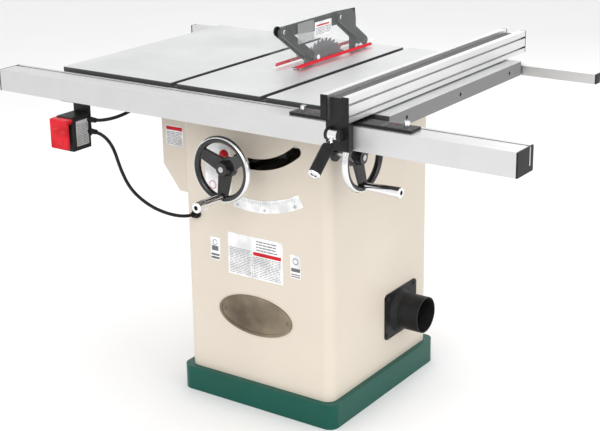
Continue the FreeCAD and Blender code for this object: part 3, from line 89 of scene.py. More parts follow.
def grain(tree, scale, stretch=(1, 1, 1), detail=4.0, turn=(0, 0, 0)):
    """A noise texture in the object's own coordinates, stretched along an axis."""
    coords = tree.nodes.new("ShaderNodeTexCoord")
    mapping = tree.nodes.new("ShaderNodeMapping")
    mapping.inputs["Scale"].default_value = stretch
    mapping.inputs["Rotation"].default_value = turn
    noise = tree.nodes.new("ShaderNodeTexNoise")
    noise.inputs["Scale"].default_value = scale
    noise.inputs["Detail"].default_value = detail
    tree.links.new(coords.outputs["Object"], mapping.inputs["Vector"])
    tree.links.new(mapping.outputs["Vector"], noise.inputs["Vector"])
    return noise


def ramp(tree, source, low, high, start=0.35, end=0.65):
    """A colour ramp between two colours."""
    node = tree.nodes.new("ShaderNodeValToRGB")
    node.color_ramp.elements[0].position = start
    node.color_ramp.elements[1].position = end
    node.color_ramp.elements[0].color = (*low, 1)
    node.color_ramp.elements[1].color = (*high, 1)
    tree.links.new(source, node.inputs["Fac"])
    return node.outputs["Color"]


def levels(tree, source, low, high):
    """A value mapped from 0..1 to a range."""
    node = tree.nodes.new("ShaderNodeMapRange")
    node.inputs["To Min"].default_value = low
    node.inputs["To Max"].default_value = high
    tree.links.new(source, node.inputs["Value"])
    return node.outputs["Result"]


def bump(tree, main, source, strength, distance):
    """A bump from a height."""
    node = tree.nodes.new("ShaderNodeBump")
    node.inputs["Strength"].default_value = strength
    node.inputs["Distance"].default_value = distance
    tree.links.new(source, node.inputs["Height"])
    tree.links.new(node.outputs["Normal"], main.inputs["Normal"])


def paint(name, colour, rough=0.35, peel=0.12, spread=0.03, coat=0.06):
    """Sprayed paint with a light orange peel and slow colour drift."""
    finish, tree, main = shader(name)
    drift = grain(tree, 3.0, detail=3)
    low = tuple(max(0, c * (1 - spread)) for c in colour)
    high = tuple(min(1, c * (1 + spread)) for c in colour)
    tree.links.new(ramp(tree, drift.outputs["Fac"], low, high), main.inputs["Base Color"])
    fine = grain(tree, 900, detail=2)
    bump(tree, main, fine.outputs["Fac"], peel, 0.0003)
    smear = grain(tree, 14, detail=5)
    tree.links.new(levels(tree, smear.outputs["Fac"], rough * 0.85, rough * 1.2), main.inputs["Roughness"])
    main.inputs["Specular IOR Level"].default_value = 0.25
    main.inputs["Coat Weight"].default_value = coat
    main.inputs["Coat Roughness"].default_value = 0.2
    return finish


def metal(name, colour, rough, stretch, scale=400, scratch=0.15, spread=0.08):
    """Metal with its tooling lines along one direction."""
    finish, tree, main = shader(name)
    lines = grain(tree, scale, stretch, detail=3)
    cloud = grain(tree, 9, detail=4)
    low = tuple(c * (1 - spread) for c in colour)
    high = tuple(min(1, c * (1 + spread)) for c in colour)
    tree.links.new(ramp(tree, cloud.outputs["Fac"], low, high, 0.3, 0.7), main.inputs["Base Color"])
    tree.links.new(levels(tree, lines.outputs["Fac"], rough * 0.75, rough * 1.3), main.inputs["Roughness"])
    bump(tree, main, lines.outputs["Fac"], scratch, 0.00015)
    main.inputs["Metallic"].default_value = 1.0
    return finish


def plastic(name, colour, rough=0.45, stipple=0.25, scale=1500):
    """Moulded plastic or rubber with a fine stipple."""
    finish, tree, main = shader(name)
    fine = grain(tree, scale, detail=2)
    wear = grain(tree, 30, detail=5)
    low = tuple(c * 0.85 for c in colour)
    high = tuple(min(1, c * 1.2 + 0.004) for c in colour)
    tree.links.new(ramp(tree, wear.outputs["Fac"], low, high), main.inputs["Base Color"])
    tree.links.new(levels(tree, wear.outputs["Fac"], rough * 0.85, rough * 1.2), main.inputs["Roughness"])
    bump(tree, main, fine.outputs["Fac"], stipple, 0.0002)
    main.inputs["Specular IOR Level"].default_value = 0.15
    return finish


def clear(name, tint, alpha):
    """Thin clear sheet, seen through with faint smears."""
    finish, tree, main = shader(name)
    smear = grain(tree, 25, detail=5)
    main.inputs["Base Color"].default_value = (*tint, 1)
    tree.links.new(levels(tree, smear.outputs["Fac"], 0.03, 0.12), main.inputs["Roughness"])
    main.inputs["Alpha"].default_value = alpha
    main.inputs["IOR"].default_value = 1.49
    main.inputs["Specular IOR Level"].default_value = 0.2
    bump(tree, main, smear.outputs["Fac"], 0.05, 0.0005)
    return finish


def make_finishes(sizes):
    """Every finish of the saw, by name."""
    cream = tuple(sizes.cabinet_colour)
    green = tuple(sizes.plinth_colour)
    return {
        "cream": paint("cabinet_cream", cream),
        "green": paint("plinth_green", green, rough=0.3, coat=0.04),
        "iron_rough": paint("cast_grey", (0.10, 0.10, 0.10), rough=0.6, peel=0.7, coat=0.0),
        "aluminium": metal("brushed_aluminium", (0.68, 0.68, 0.68), 0.40, (0.03, 9, 9), 420, 0.10, 0.03),
        "aluminium_y": metal("drawn_aluminium", (0.84, 0.84, 0.84), 0.36, (9, 0.03, 9), 420, 0.10, 0.03),
        "steel": metal("turned_steel", (0.55, 0.55, 0.55), 0.30, (4, 1, 4), 500, 0.1),
        "blade": metal("blade_steel", (0.20, 0.20, 0.21), 0.38, (1, 2, 2), 350, 0.15),
        "chrome": metal("chrome_plate", (0.86, 0.86, 0.87), 0.08, (1, 1, 1), 60, 0.01, 0.02),
        "black": paint("black_enamel", (0.012, 0.012, 0.013), rough=0.32, peel=0.15, coat=0.06),
        "moulded": plastic("black_moulding", (0.014, 0.014, 0.015), 0.42),
        "grip": plastic("grip_rubber", (0.012, 0.012, 0.013), 0.5, 0.4, 700),
        "cord": plastic("cord_rubber", (0.012, 0.012, 0.012), 0.5, 0.15, 1200),
        "red": plastic("stop_red", (0.55, 0.012, 0.02), 0.3, 0.05),
        "start_green": plastic("start_green", (0.01, 0.30, 0.06), 0.3, 0.05),
        "red_strip": clear("red_strip", (0.70, 0.01, 0.03), 0.95),
        "clear": clear("clear_sheet", (0.90, 0.94, 0.94), 0.05),
        "grey_film": plastic("switch_plate_grey", (0.42, 0.42, 0.42), 0.4, 0.02),
        "film": clear("grey_film", (0.45, 0.46, 0.46), 0.45),
        "white": plastic("white_film", (0.80, 0.80, 0.81), 0.4, 0.02),
        "ink": plastic("grey_ink", (0.14, 0.14, 0.15), 0.5, 0.05),
        "bronze": metal("aged_bronze", (0.34, 0.27, 0.17), 0.42, (1, 1, 1), 120, 0.3, 0.3),
        "pewter": metal("badge_grey", (0.25, 0.205, 0.15), 0.5, (1, 1, 1), 200, 0.5, 0.45),
    }


FINISH = {}

NODE_FINISH = {
    "base_plinth": "green", "cabinet_shell": "cream", "rear_panel": "cream", "motor_cover": "cream",
    "dust_port": "moulded", "dust_tray": "steel", "main_table": "ground_top", "left_wing": "ground_top",
    "right_wing": "ground_top", "throat_insert": "aluminium_y", "front_rail": "aluminium",
    "rear_rail": "aluminium", "rail_caps": "moulded", "frame_fasteners": "fastener", "rail_mounts": "black",
    "front_plates": "white", "badge_plate": "pewter", "trunnion_brackets": "iron_rough",
    "shaft_bearing": "black", "switch_box": "moulded", "cord_glands": "cord", "power_plug": "cord",
    "front_trunnion": "iron_rough", "rear_trunnion": "iron_rough", "carriage_rods": "steel",
    "guard_spine": "black", "height_shaft": "steel", "height_handle": "chrome", "tilt_shaft": "steel",
    "tilt_handle": "chrome", "arbor_arm": "iron_rough", "arbor_bearings": "steel", "drive_belt": "cord",
    "motor": "iron_rough", "arbor_shaft": "steel", "saw_blade": "blade", "blade_clamp": "steel",
    "arbor_pulley": "steel", "motor_pulley": "steel", "left_front_link": "black",
    "left_rear_link": "black", "left_shield": "clear", "right_front_link": "black",
    "right_rear_link": "black", "right_shield": "clear", "fence_beam": "iron_rough",
    "fence_faces": "aluminium_y", "fence_caps": "moulded", "fence_head": "black",
    "cursor_windows": "clear", "cursor_knobs": "chrome", "fence_lever": "chrome", "fence_grip": "grip",
    "stop_paddle": "red", "start_button": "start_green", "height_wheel": "front_wheel",
    "tilt_wheel": "side_wheel",
}

CORD_NODES = ("motor_cord", "power_cord", "power_cord_coil")

SOFT_EDGES = {
    "base_plinth": 1.5, "main_table": 1.2, "left_wing": 1.2, "right_wing": 1.2, "front_rail": 1.0,
    "rear_rail": 0.8, "rail_caps": 1.2, "fence_faces": 0.6, "fence_caps": 0.8, "fence_head": 1.4,
    "rail_mounts": 0.8, "guard_spine": 0.3, "motor_cover": 4.0, "front_trunnion": 1.5,
    "rear_trunnion": 1.5, "stop_paddle": 1.2, "badge_plate": 0.5, "cursor_windows": 0.8,
}


# ---- meshes ----

def add_piece(name, mesh, finish, body, smooth=True):
    """Put a mesh in the scene with a finish, riding on a body."""
    piece = bpy.data.objects.new(name, mesh)
    bpy.context.scene.collection.objects.link(piece)
    mesh.materials.append(FINISH[finish])
    if smooth:
        for face in mesh.polygons:
            face.use_smooth = True
    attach(piece, body)
    return piece


def from_bmesh(name, bm):
    """A mesh from a bmesh, which is freed."""
    bmesh.ops.recalc_face_normals(bm, faces=bm.faces)
    mesh = bpy.data.meshes.new(name)
    bm.to_mesh(mesh)
    bm.free()
    return mesh


def lathe(bm, profile, turn, steps):
    """Turn a closed profile of (radius, height) round Z, then move it by a matrix."""
    rings = []
    for step in range(steps):
        angle = 2 * math.pi * step / steps
        places = [Vector((r * math.cos(angle), r * math.sin(angle), h)) for r, h in profile]
        rings.append([bm.verts.new(turn @ place) for place in places])
    count = len(profile)
    for step in range(steps):
        here, there = rings[step], rings[(step + 1) % steps]
        for index in range(count):
            after = (index + 1) % count
            bm.faces.new((here[index], here[after], there[after], there[index]))


def slab(bm, outline, turn, thick):
    """A prism from a flat outline in X and Y, thick along Z, moved by a matrix."""
    low = [bm.verts.new(turn @ Vector((x, y, 0))) for x, y in outline]
    high = [bm.verts.new(turn @ Vector((x, y, thick))) for x, y in outline]
    count = len(outline)
    bm.faces.new(low)
    bm.faces.new(high)
    for index in range(count):
        after = (index + 1) % count
        bm.faces.new((low[index], low[after], high[after], high[index]))


def rounded(x0, y0, x1, y1, radius, steps=5):
    """A rounded rectangle outline."""
    points = []
    for cx, cy, start in ((x1 - radius, y1 - radius, 0), (x0 + radius, y1 - radius, 90),
                          (x0 + radius, y0 + radius, 180), (x1 - radius, y0 + radius, 270)):
        for step in range(steps + 1):
            angle = math.radians(start + 90 * step / steps)
            points.append((cx + radius * math.cos(angle), cy + radius * math.sin(angle)))
    return points


def soften(piece, width):
    """A bevel on sharp edges."""
    edge = piece.modifiers.new("soft_edge", "BEVEL")
    edge.width = width
    edge.segments = 2
    edge.limit_method = "ANGLE"
    edge.angle_limit = math.radians(SHARP_EDGE)
    edge.harden_normals = False


def measure(tree, axis, low, high):
    """0 to 1 as an object coordinate goes from low to high."""
    coords = tree.nodes.new("ShaderNodeTexCoord")
    split = tree.nodes.new("ShaderNodeSeparateXYZ")
    node = tree.nodes.new("ShaderNodeMapRange")
    node.inputs["From Min"].default_value = low
    node.inputs["From Max"].default_value = high
    tree.links.new(coords.outputs["Object"], split.inputs["Vector"])
    tree.links.new(split.outputs[axis], node.inputs["Value"])
    return node.outputs["Result"]


def reach(tree, centre, across, low, high):
    """0 to 1 as the distance from an axis through centre goes from low to high."""
    coords = tree.nodes.new("ShaderNodeTexCoord")
    offset = tree.nodes.new("ShaderNodeVectorMath")
    offset.operation = "SUBTRACT"
    offset.inputs[1].default_value = centre
    flat = tree.nodes.new("ShaderNodeVectorMath")
    flat.operation = "MULTIPLY"
    flat.inputs[1].default_value = across
    long = tree.nodes.new("ShaderNodeVectorMath")
    long.operation = "LENGTH"
    node = tree.nodes.new("ShaderNodeMapRange")
    node.inputs["From Min"].default_value = low
    node.inputs["From Max"].default_value = high
    tree.links.new(coords.outputs["Object"], offset.inputs[0])
    tree.links.new(offset.outputs["Vector"], flat.inputs[0])
    tree.links.new(flat.outputs["Vector"], long.inputs[0])
    tree.links.new(long.outputs["Value"], node.inputs["Value"])
    return node.outputs["Result"]


def blend_colour(tree, mask, source, colour):
    """Lay a colour over a colour source where the mask is 1."""
    node = tree.nodes.new("ShaderNodeMix")
    node.data_type = "RGBA"
    tree.links.new(mask, node.inputs["Factor"])
    tree.links.new(source, node.inputs[MIX_A])
    node.inputs[MIX_B].default_value = (*colour, 1)
    return node.outputs[MIX_RESULT]


def ground_top_finish(edge_colour, lit_side_colour):
    """Ground iron on top, dark paint below it, and a lighter grey on the right wing's side painted as the
    light that falls on it.
    """
    finish, tree, main = shader("main_table_iron")
    lines = grain(tree, 240, (6, 0.12, 1), detail=3)
    cloud = grain(tree, 5, detail=5)
    ground = ramp(tree, cloud.outputs["Fac"], (0.64, 0.645, 0.65), (0.73, 0.735, 0.74), 0.3, 0.7)
    side = measure(tree, "Z", TABLE_TOP - 0.0006, TABLE_TOP - 0.0012)
    # mask of the right wing's side, which gets a lighter grey as painted light
    lit_flank_mask = measure(tree, "X", RIGHT_FLANK - 0.001, RIGHT_FLANK - 0.0005)
    # dark edge paint below the top, then the painted light grey over it on the right wing's side
    paint_and_lit_side = blend_colour(tree, lit_flank_mask, blend_colour(tree, side, ground, edge_colour), lit_side_colour)
    chooser = tree.nodes.new("ShaderNodeMix")
    chooser.data_type = "RGBA"
    tree.links.new(side, chooser.inputs["Factor"])
    tree.links.new(ground, chooser.inputs[MIX_A])
    tree.links.new(paint_and_lit_side, chooser.inputs[MIX_B])
    tree.links.new(chooser.outputs[MIX_RESULT], main.inputs["Base Color"])
    tree.links.new(levels(tree, side, 0.85, 0.0), main.inputs["Metallic"])
    tree.links.new(levels(tree, lines.outputs["Fac"], 0.36, 0.56), main.inputs["Roughness"])
    bump(tree, main, lines.outputs["Fac"], 0.12, 0.00015)
    return finish


def fastener_finish():
    """Bright screws, black on the dust port."""
    finish, tree, main = shader("fastener_zinc")
    wear = grain(tree, 60, detail=4)
    port = measure(tree, "X", CABINET_SIDE, CABINET_SIDE + 0.0005)
    low = measure(tree, "Z", PORT_SCREWS_TOP, PORT_SCREWS_TOP - 0.01)
    both = tree.nodes.new("ShaderNodeMath")
    both.operation = "MULTIPLY"
    tree.links.new(port, both.inputs[0])
    tree.links.new(low, both.inputs[1])
    zinc = ramp(tree, wear.outputs["Fac"], (0.48, 0.48, 0.49), (0.62, 0.62, 0.63))
    colour = blend_colour(tree, both.outputs["Value"], zinc, (0.02, 0.02, 0.02))
    tree.links.new(colour, main.inputs["Base Color"])
    tree.links.new(levels(tree, wear.outputs["Fac"], 0.25, 0.45), main.inputs["Roughness"])
    tree.links.new(levels(tree, both.outputs["Value"], 1.0, 0.0), main.inputs["Metallic"])
    return finish


def wheel_finish(name, centre, across):
    """Chrome rim, and black web and boss."""
    finish, tree, main = shader(name)
    wear = grain(tree, 40, detail=4)
    rim = reach(tree, centre, across, RIM_RADIUS, RIM_RADIUS + 0.0004)
    black = ramp(tree, wear.outputs["Fac"], (0.010, 0.010, 0.011), (0.018, 0.018, 0.019))
    tree.links.new(blend_colour(tree, rim, black, (0.80, 0.80, 0.81)), main.inputs["Base Color"])
    tree.links.new(rim, main.inputs["Metallic"])
    tree.links.new(levels(tree, wear.outputs["Fac"], 0.10, 0.24), main.inputs["Roughness"])
    return finish


# ---- settings ----

class TableSawFinishes(bpy.types.PropertyGroup):
    """Colours of the saw"""
    cabinet_colour: bpy.props.FloatVectorProperty(
        name="Cabinet", description="Paint of the cabinet", default=(0.67, 0.60, 0.51),
        subtype="COLOR", size=3, min=0, max=1)
    plinth_colour: bpy.props.FloatVectorProperty(
        name="Plinth", description="Paint of the plinth", default=(0.002, 0.078, 0.056),
        subtype="COLOR", size=3, min=0, max=1)


class TableSawSizes(bpy.types.PropertyGroup):
    """Sizes of the small pieces"""
    cord_diameter: bpy.props.FloatProperty(
        name="Cord", description="Diameter of both mains leads", default=0.009, unit="LENGTH")
    motor_lead_length: bpy.props.FloatProperty(
        name="Motor lead", description="Length of the lead from switch to gland", default=0.42, unit="LENGTH")
    mains_lead_length: bpy.props.FloatProperty(
        name="Mains lead", description="Length of the lead from switch to plug", default=2.74, unit="LENGTH")
    coil_radius: bpy.props.FloatProperty(
        name="Coil", description="Middle radius of the stored coil", default=0.050, unit="LENGTH")


class TableSawStage(bpy.types.PropertyGroup):
    """Floor, light and camera"""
    floor_size: bpy.props.FloatProperty(
        name="Floor", description="Width of the floor", default=40.0, unit="LENGTH")
    floor_colour: bpy.props.FloatVectorProperty(
        name="Floor colour", description="Colour of the floor", default=(0.88, 0.88, 0.88),
        subtype="COLOR", size=3, min=0, max=1)
    key_power: bpy.props.FloatProperty(
        name="Key light", description="Power of the large front light", default=58.0, unit="POWER")
    lens: bpy.props.FloatProperty(
        name="Lens", description="Focal length of the camera", default=80.07, subtype="DISTANCE_CAMERA")


# ---- operators ----

class SAW_OT_finishes(bpy.types.Operator):
    """Give every construction piece its finish and soft edges"""
    bl_idname = "table_saw.finishes"
    bl_label = "Finishes"

    def execute(self, context):
        FINISH.update(make_finishes(context.scene.table_saw_finishes))
        # the second colour is a lighter grey painted on the right wing's side as the light falling on it
        FINISH["ground_top"] = ground_top_finish((0.05, 0.05, 0.052), (0.17, 0.17, 0.175))
        front_hub = JOINTS["height_wheel_turn"]["pos_m"]
        FINISH["front_wheel"] = wheel_finish("front_wheel_finish", front_hub, (1, 0, 1))
        side_hub = JOINTS["tilt_wheel_turn"]["pos_m"]
        FINISH["side_wheel"] = wheel_finish("side_wheel_finish", side_hub, (0, 1, 1))
        FINISH["fastener"] = fastener_finish()
        for name, part in frame["nodes"].items():
            if name in CORD_NODES:
                continue
            part.data.materials.clear()
            part.data.materials.append(FINISH[NODE_FINISH[name]])
            for face in part.data.polygons:
                face.material_index = 0
            if name in SOFT_EDGES:
                soften(part, SOFT_EDGES[name] * MM)
        return {"FINISHED"}


def route_metres(points):
    """A route in metres."""
    return [tuple(value * MM for value in point) for point in points]


MOTOR_ROUTE = [
    (-424, -405, 753), (-398, -405, 753), (-374.5, -403, 744.5), (-356, -400, 727), (-346, -396, 703),
    (-341, -391, 675), (-334, -384, 642), (-321, -375, 606), (-300, -362, 576), (-271, -346, 551),
    (-242, -332, 537), (-217, -318, 529), (-199, -299, 524), (-192, -277, 522), (-191, -254.5, 522),
]

POWER_ROUTE = [
    (-424, -405, 785), (-398, -405, 785), (-375, -398, 788), (-357, -383, 792), (-346, -362, 797),
    (-340, -335, 803), (-334, -300, 814), (-322, -258, 833), (-306, -210, 850), (-293, -150, 854),
    (-288, -75, 853), (-291, 10, 854), (-288, 90, 853), (-290, 140, 853), (-292, 171, 846),
    (-291, 195, 829), (-289, 213, 804), (-288, 225, 766), (-290, 232, 706), (-288, 236, 610),
    (-291, 237, 500), (-289, 240, 390), (-291, 243, 280), (-289, 246, 190), (-288, 249, 130),
    (-286, 255, 85), (-280, 263, 50), (-268, 273, 24), (-250, 285, 9), (-226, 298, 5),
    (-201, 310, 5), (-179, 323, 5), (-161, 342, 5), (-146, 367, 5),
]


def lead(name, points, diameter):
    """A cord as a curve through its route."""
    curve = bpy.data.curves.new(name, "CURVE")
    curve.dimensions = "3D"
    curve.bevel_depth = diameter / 2
    curve.bevel_resolution = 6
    curve.resolution_u = 8
    curve.use_fill_caps = True
    spline = curve.splines.new("NURBS")
    spline.points.add(len(points) - 1)
    for point, place in zip(spline.points, points):
        point.co = (*place, 1)
    spline.order_u = 3
    spline.use_endpoint_u = True
    curve.materials.append(FINISH["cord"])
    cable = bpy.data.objects.new(name, curve)
    bpy.context.scene.collection.objects.link(cable)
    return cable


class SAW_OT_cords(bpy.types.Operator):
    """Make the two mains leads and the stored coil"""
    bl_idname = "table_saw.cords"
    bl_label = "Cords"

    def execute(self, context):
        sizes = context.scene.table_saw_sizes
        diameter = sizes.cord_diameter
        motor_route = route_metres(MOTOR_ROUTE)
        motor = lead("motor_lead", motor_route, diameter)
        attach(motor, "cabinet")
        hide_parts("motor_cord")
        power_route = route_metres(POWER_ROUTE)
        power = lead("power_lead", power_route + coil_points(sizes), diameter)
        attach(power, "cabinet")
        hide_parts("power_cord", "power_cord_coil")
        return {"FINISHED"}


# the stored coil: its middle in metres, where its turns start and how far they run in degrees
COIL_MIDDLE = Vector((-0.095, 0.395))
COIL_START, COIL_SWEEP, COIL_STEP = 170, 1250, 10
# each turn keeps to its layer for this share, then passes to the next one
COIL_STAY, COIL_PASS = 0.7, 0.3
FLOOR_GAP = 0.2 * MM


def coil_points(sizes):
    """Clockwise turns out and in on the floor, then in and out on top, ending at the plug."""
    middle = COIL_MIDDLE
    radius = sizes.coil_radius
    half = sizes.cord_diameter / 2
    low, high = FLOOR_GAP + half, FLOOR_GAP + 3 * half
    layers = ((radius + half, low), (radius - half, low), (radius - half, high), (radius + half, high))
    points = []
    for swept in range(0, COIL_SWEEP + 1, COIL_STEP):
        turn, part_turn = divmod(swept, 360)
        here = layers[turn]
        after = layers[min(turn + 1, len(layers) - 1)]
        share = max(0.0, (part_turn / 360 - COIL_STAY) / COIL_PASS)
        angle = math.radians(COIL_START - swept)
        out = here[0] + (after[0] - here[0]) * share
        lift = here[1] + (after[1] - here[1]) * share
        points.append((middle.x + out * math.cos(angle), middle.y + out * math.sin(angle), lift))
    return points


# ---- small pieces on the front ----

FRONT_SKIN = CABINET_FRONT - 0.0008
FRONT = Matrix(((1, 0, 0, 0), (0, 0, -1, 0), (0, 1, 0, 0), (0, 0, 0, 1)))


def on_front(y):
    """X and Y of an outline become X and Z, facing the front at depth y."""
    return Matrix.Translation((0, y, 0)) @ FRONT


def on_side(x):
    """X and Y of an outline become Y and Z, facing the right side at x."""
    turn = Matrix(((0, 0, 1, 0), (1, 0, 0, 0), (0, 1, 0, 0), (0, 0, 0, 1)))
    return Matrix.Translation((x, 0, 0)) @ turn


def bars(name, outlines, turn, thick, finish, body):
    """Thin raised flat shapes, all in one piece."""
    bm = bmesh.new()
    for outline in outlines:
        slab(bm, outline, turn, thick)
    return add_piece(name, from_bmesh(name, bm), finish, body, smooth=False)


def strip(x0, y0, x1, y1):
    """A rectangle in metres from millimetres."""
    return [(x0 * MM, y0 * MM), (x1 * MM, y0 * MM), (x1 * MM, y1 * MM), (x0 * MM, y1 * MM)]


def text_rows(x0, x1, low, high, pitch, seed, tall=1.5):
    """Rows of broken lines of uneven length that stand for small print."""
    rows = []
    state = seed
    z = high
    while z > low:
        x = x0
        while x < x1 - 4:
            state = (state * 1103515245 + 12345) % 2147483648
            run = 6 + state % 14
            rows.append(strip(x, z - tall, min(x + run, x1), z))
            x += run + 2
        z -= pitch
    return rows


def ring_bars(x, y, inner, outer, steps=32):
    """A flat ring as short quads."""
    quads = []
    for k in range(steps):
        a, b = 2 * math.pi * k / steps, 2 * math.pi * (k + 1) / steps
        quads.append([((x + r * math.cos(t)) * MM, (y + r * math.sin(t)) * MM)
                      for r, t in ((inner, a), (outer, a), (outer, b), (inner, b))])
    return quads


# thickness of a line of print and of the labels that carry it, in metres
PRINT = 0.0001
LABEL = 0.0004
STICKER = 0.0003


def scale_ticks():
    """Degree marks on the tilt scale, longer at every fifth."""
    inner_radius, half_width = 0.31709, 0.00035
    ticks = []
    for degree in range(-8, 27):
        long = 0.011 if degree % 5 == 0 else 0.006
        angle = math.radians(degree)
        way = Vector((math.sin(angle), -math.cos(angle)))
        side = Vector((-way.y, way.x)) * half_width
        start = Vector((TILT.x, TILT.z)) + way * inner_radius
        end = start + way * long
        ticks.append([tuple(p) for p in (start - side, start + side, end + side, end - side)])
    return ticks


def plate_print():
    """Grey lines of the middle plate, then the blocks and rings of the plates beside it."""
    grey = text_rows(-84, -14, 378, 448, 4.6, 7) + text_rows(-6, 82, 378, 434, 4.6, 19)
    grey += text_rows(4, 74, 454, 480, 8, 5, 3)
    grey += [strip(-10.6, 376, -9.8, 450)]
    grey += [strip(-147, 403, -119, 409), strip(-147, 412, -119, 418), strip(-144, 426, -122, 440)]
    grey += [strip(116, 403, 144, 406), strip(116, 409, 144, 412), strip(116, 418, 144, 428)]
    return grey + ring_bars(-133, 450, 6, 8) + ring_bars(130, 447, 7, 9)


def red_dome():
    """The red domed knob on the wheel's label."""
    bm = bmesh.new()
    profile = [(0.0001, 0.0), (0.0145, 0.0), (0.0145, 0.002), (0.012, 0.006), (0.006, 0.0085),
               (0.0001, 0.009)]
    spot = Matrix.Translation((-0.093, CABINET_FRONT - LABEL, 0.700)) @ FRONT
    lathe(bm, profile, spot, 32)
    add_piece("red_dome", from_bmesh("red_dome", bm), "red", "cabinet")


def cover_sticker():
    """A generic sticker on the front of the motor cover."""
    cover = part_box("motor_cover")[0][1]
    plate = [rounded(-0.336, 0.680, -0.276, 0.737, 0.003)]
    bars("cover_sticker", plate, on_front(cover), STICKER, "white", "cabinet")
    skin = on_front(cover - STICKER)
    bars("cover_sticker_red", [strip(-334, 724, -278, 734)], skin, PRINT, "red", "cabinet")
    rows = text_rows(-332, -280, 684, 719, 4.2, 31)
    bars("cover_sticker_print", rows, skin, PRINT, "ink", "cabinet")


class SAW_OT_front_prints(bpy.types.Operator):
    """Print the tilt scale and the generic plates on the front"""
    bl_idname = "table_saw.front_prints"
    bl_label = "Front prints"

    def execute(self, context):
        bars("tilt_scale_ticks", scale_ticks(), on_front(CABINET_FRONT - 0.001), PRINT, "ink", "cabinet")
        skin = on_front(FRONT_SKIN)
        bars("plate_small_print", plate_print(), skin, PRINT, "ink", "cabinet")
        bars("plate_red_band", [strip(-6, 438, 84, 448)], skin, 0.00012, "red", "cabinet")
        plain = [rounded(-0.158, 0.588, -0.072, 0.728, 0.02)]
        bars("wheel_label", plain, on_front(CABINET_FRONT), LABEL, "white", "cabinet")
        label = on_front(CABINET_FRONT - LABEL)
        bars("wheel_label_red", ring_bars(-134, 612, 9.5, 11.5), label, PRINT, "red", "cabinet")
        red_dome()
        cover_sticker()
        return {"FINISHED"}


# the badge's rounded rim, half wide and high, and each rivet's distance from the middle, in metres
RIM_HALF, RIM_HEIGHT, RIVET_REACH = 0.0042, 0.0029, 0.102


def badge_rim(low, high, middle):
    """A rounded rim that follows the badge's oval."""
    half_x, half_z = (high.x - low.x) / 2, (high.z - low.z) / 2
    bm = bmesh.new()
    steps, section = 96, 10
    rings = []
    for step in range(steps):
        angle = 2 * math.pi * step / steps
        ring = []
        for turn in range(section):
            roll = 2 * math.pi * turn / section
            out = RIM_HALF * math.cos(roll) - 0.0043
            lift = max(0.0, RIM_HEIGHT * math.sin(roll))
            across, up = (half_x + out) * math.cos(angle), (half_z + out) * math.sin(angle)
            ring.append(bm.verts.new((middle.x + across, high.y - lift - 0.0001, middle.z + up)))
        rings.append(ring)
    for step in range(steps):
        here, there = rings[step], rings[(step + 1) % steps]
        for turn in range(section):
            after = (turn + 1) % section
            bm.faces.new((here[turn], here[after], there[after], there[turn]))
    add_piece("badge_rim", from_bmesh("badge_rim", bm), "bronze", "cabinet")


class SAW_OT_badge(bpy.types.Operator):
    """Rim and rivets of the bare oval badge"""
    bl_idname = "table_saw.badge"
    bl_label = "Badge"

    def execute(self, context):
        low, high = (Vector(corner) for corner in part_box("badge_plate"))
        middle = (low + high) / 2
        badge_rim(low, high, middle)
        bm = bmesh.new()
        profile = [(0.0001, 0.0), (0.0042, 0.0), (0.0038, 0.0012), (0.002, 0.0021), (0.0001, 0.0024)]
        for side in (-1, 1):
            spot = Matrix.Translation((middle.x + side * RIVET_REACH, high.y - 0.0008, middle.z)) @ FRONT
            lathe(bm, profile, spot, 20)
        add_piece("badge_rivets", from_bmesh("badge_rivets", bm), "steel", "cabinet")
        return {"FINISHED"}


# ---- guard ----

# upper ends of the links, Y and Z in millimetres, and the step from them to the shield's own screws
PIVOTS = {"front": (-113, 1011), "rear": (157, 1008)}
MOVE = (126, -86)
EDGE_THICK = 0.0006
FILM = 0.0002


def stud(bm, x, y, z, radius, long, side):
    """A domed screw head at a point in millimetres, facing along X."""
    profile = [(0.0001, 0), (radius * MM, 0), (radius * 0.9 * MM, long * 0.6 * MM),
               (radius * 0.5 * MM, long * 0.92 * MM), (0.0001, long * MM)]
    turn = Matrix(((0, 0, side, 0), (side, 0, 0, 0), (0, 1, 0, 0), (0, 0, 0, 1)))
    lathe(bm, profile, Matrix.Translation((x * MM, y * MM, z * MM)) @ turn, 24)


def shield_trim(side, word):
    """The red lower edge and the two screws of one clear shield."""
    low, high = (Vector(corner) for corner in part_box(word + "_shield"))
    skin = high.x if side > 0 else low.x
    bm = bmesh.new()
    outline = rounded(low.y + 0.072, low.z + 0.0003, high.y - 0.008, low.z + 0.0093, 0.003)
    start = skin if side > 0 else skin - EDGE_THICK
    slab(bm, outline, on_side(start), EDGE_THICK)
    name = word + "_shield_edge"
    add_piece(name, from_bmesh(name, bm), "red_strip", word + "_shield", smooth=False)
    bm = bmesh.new()
    for y, z in PIVOTS.values():
        stud(bm, skin / MM, y + MOVE[0], z + MOVE[1], 6.5, 3, side)
    name = word + "_shield_screws"
    add_piece(name, from_bmesh(name, bm), "white", word + "_shield")


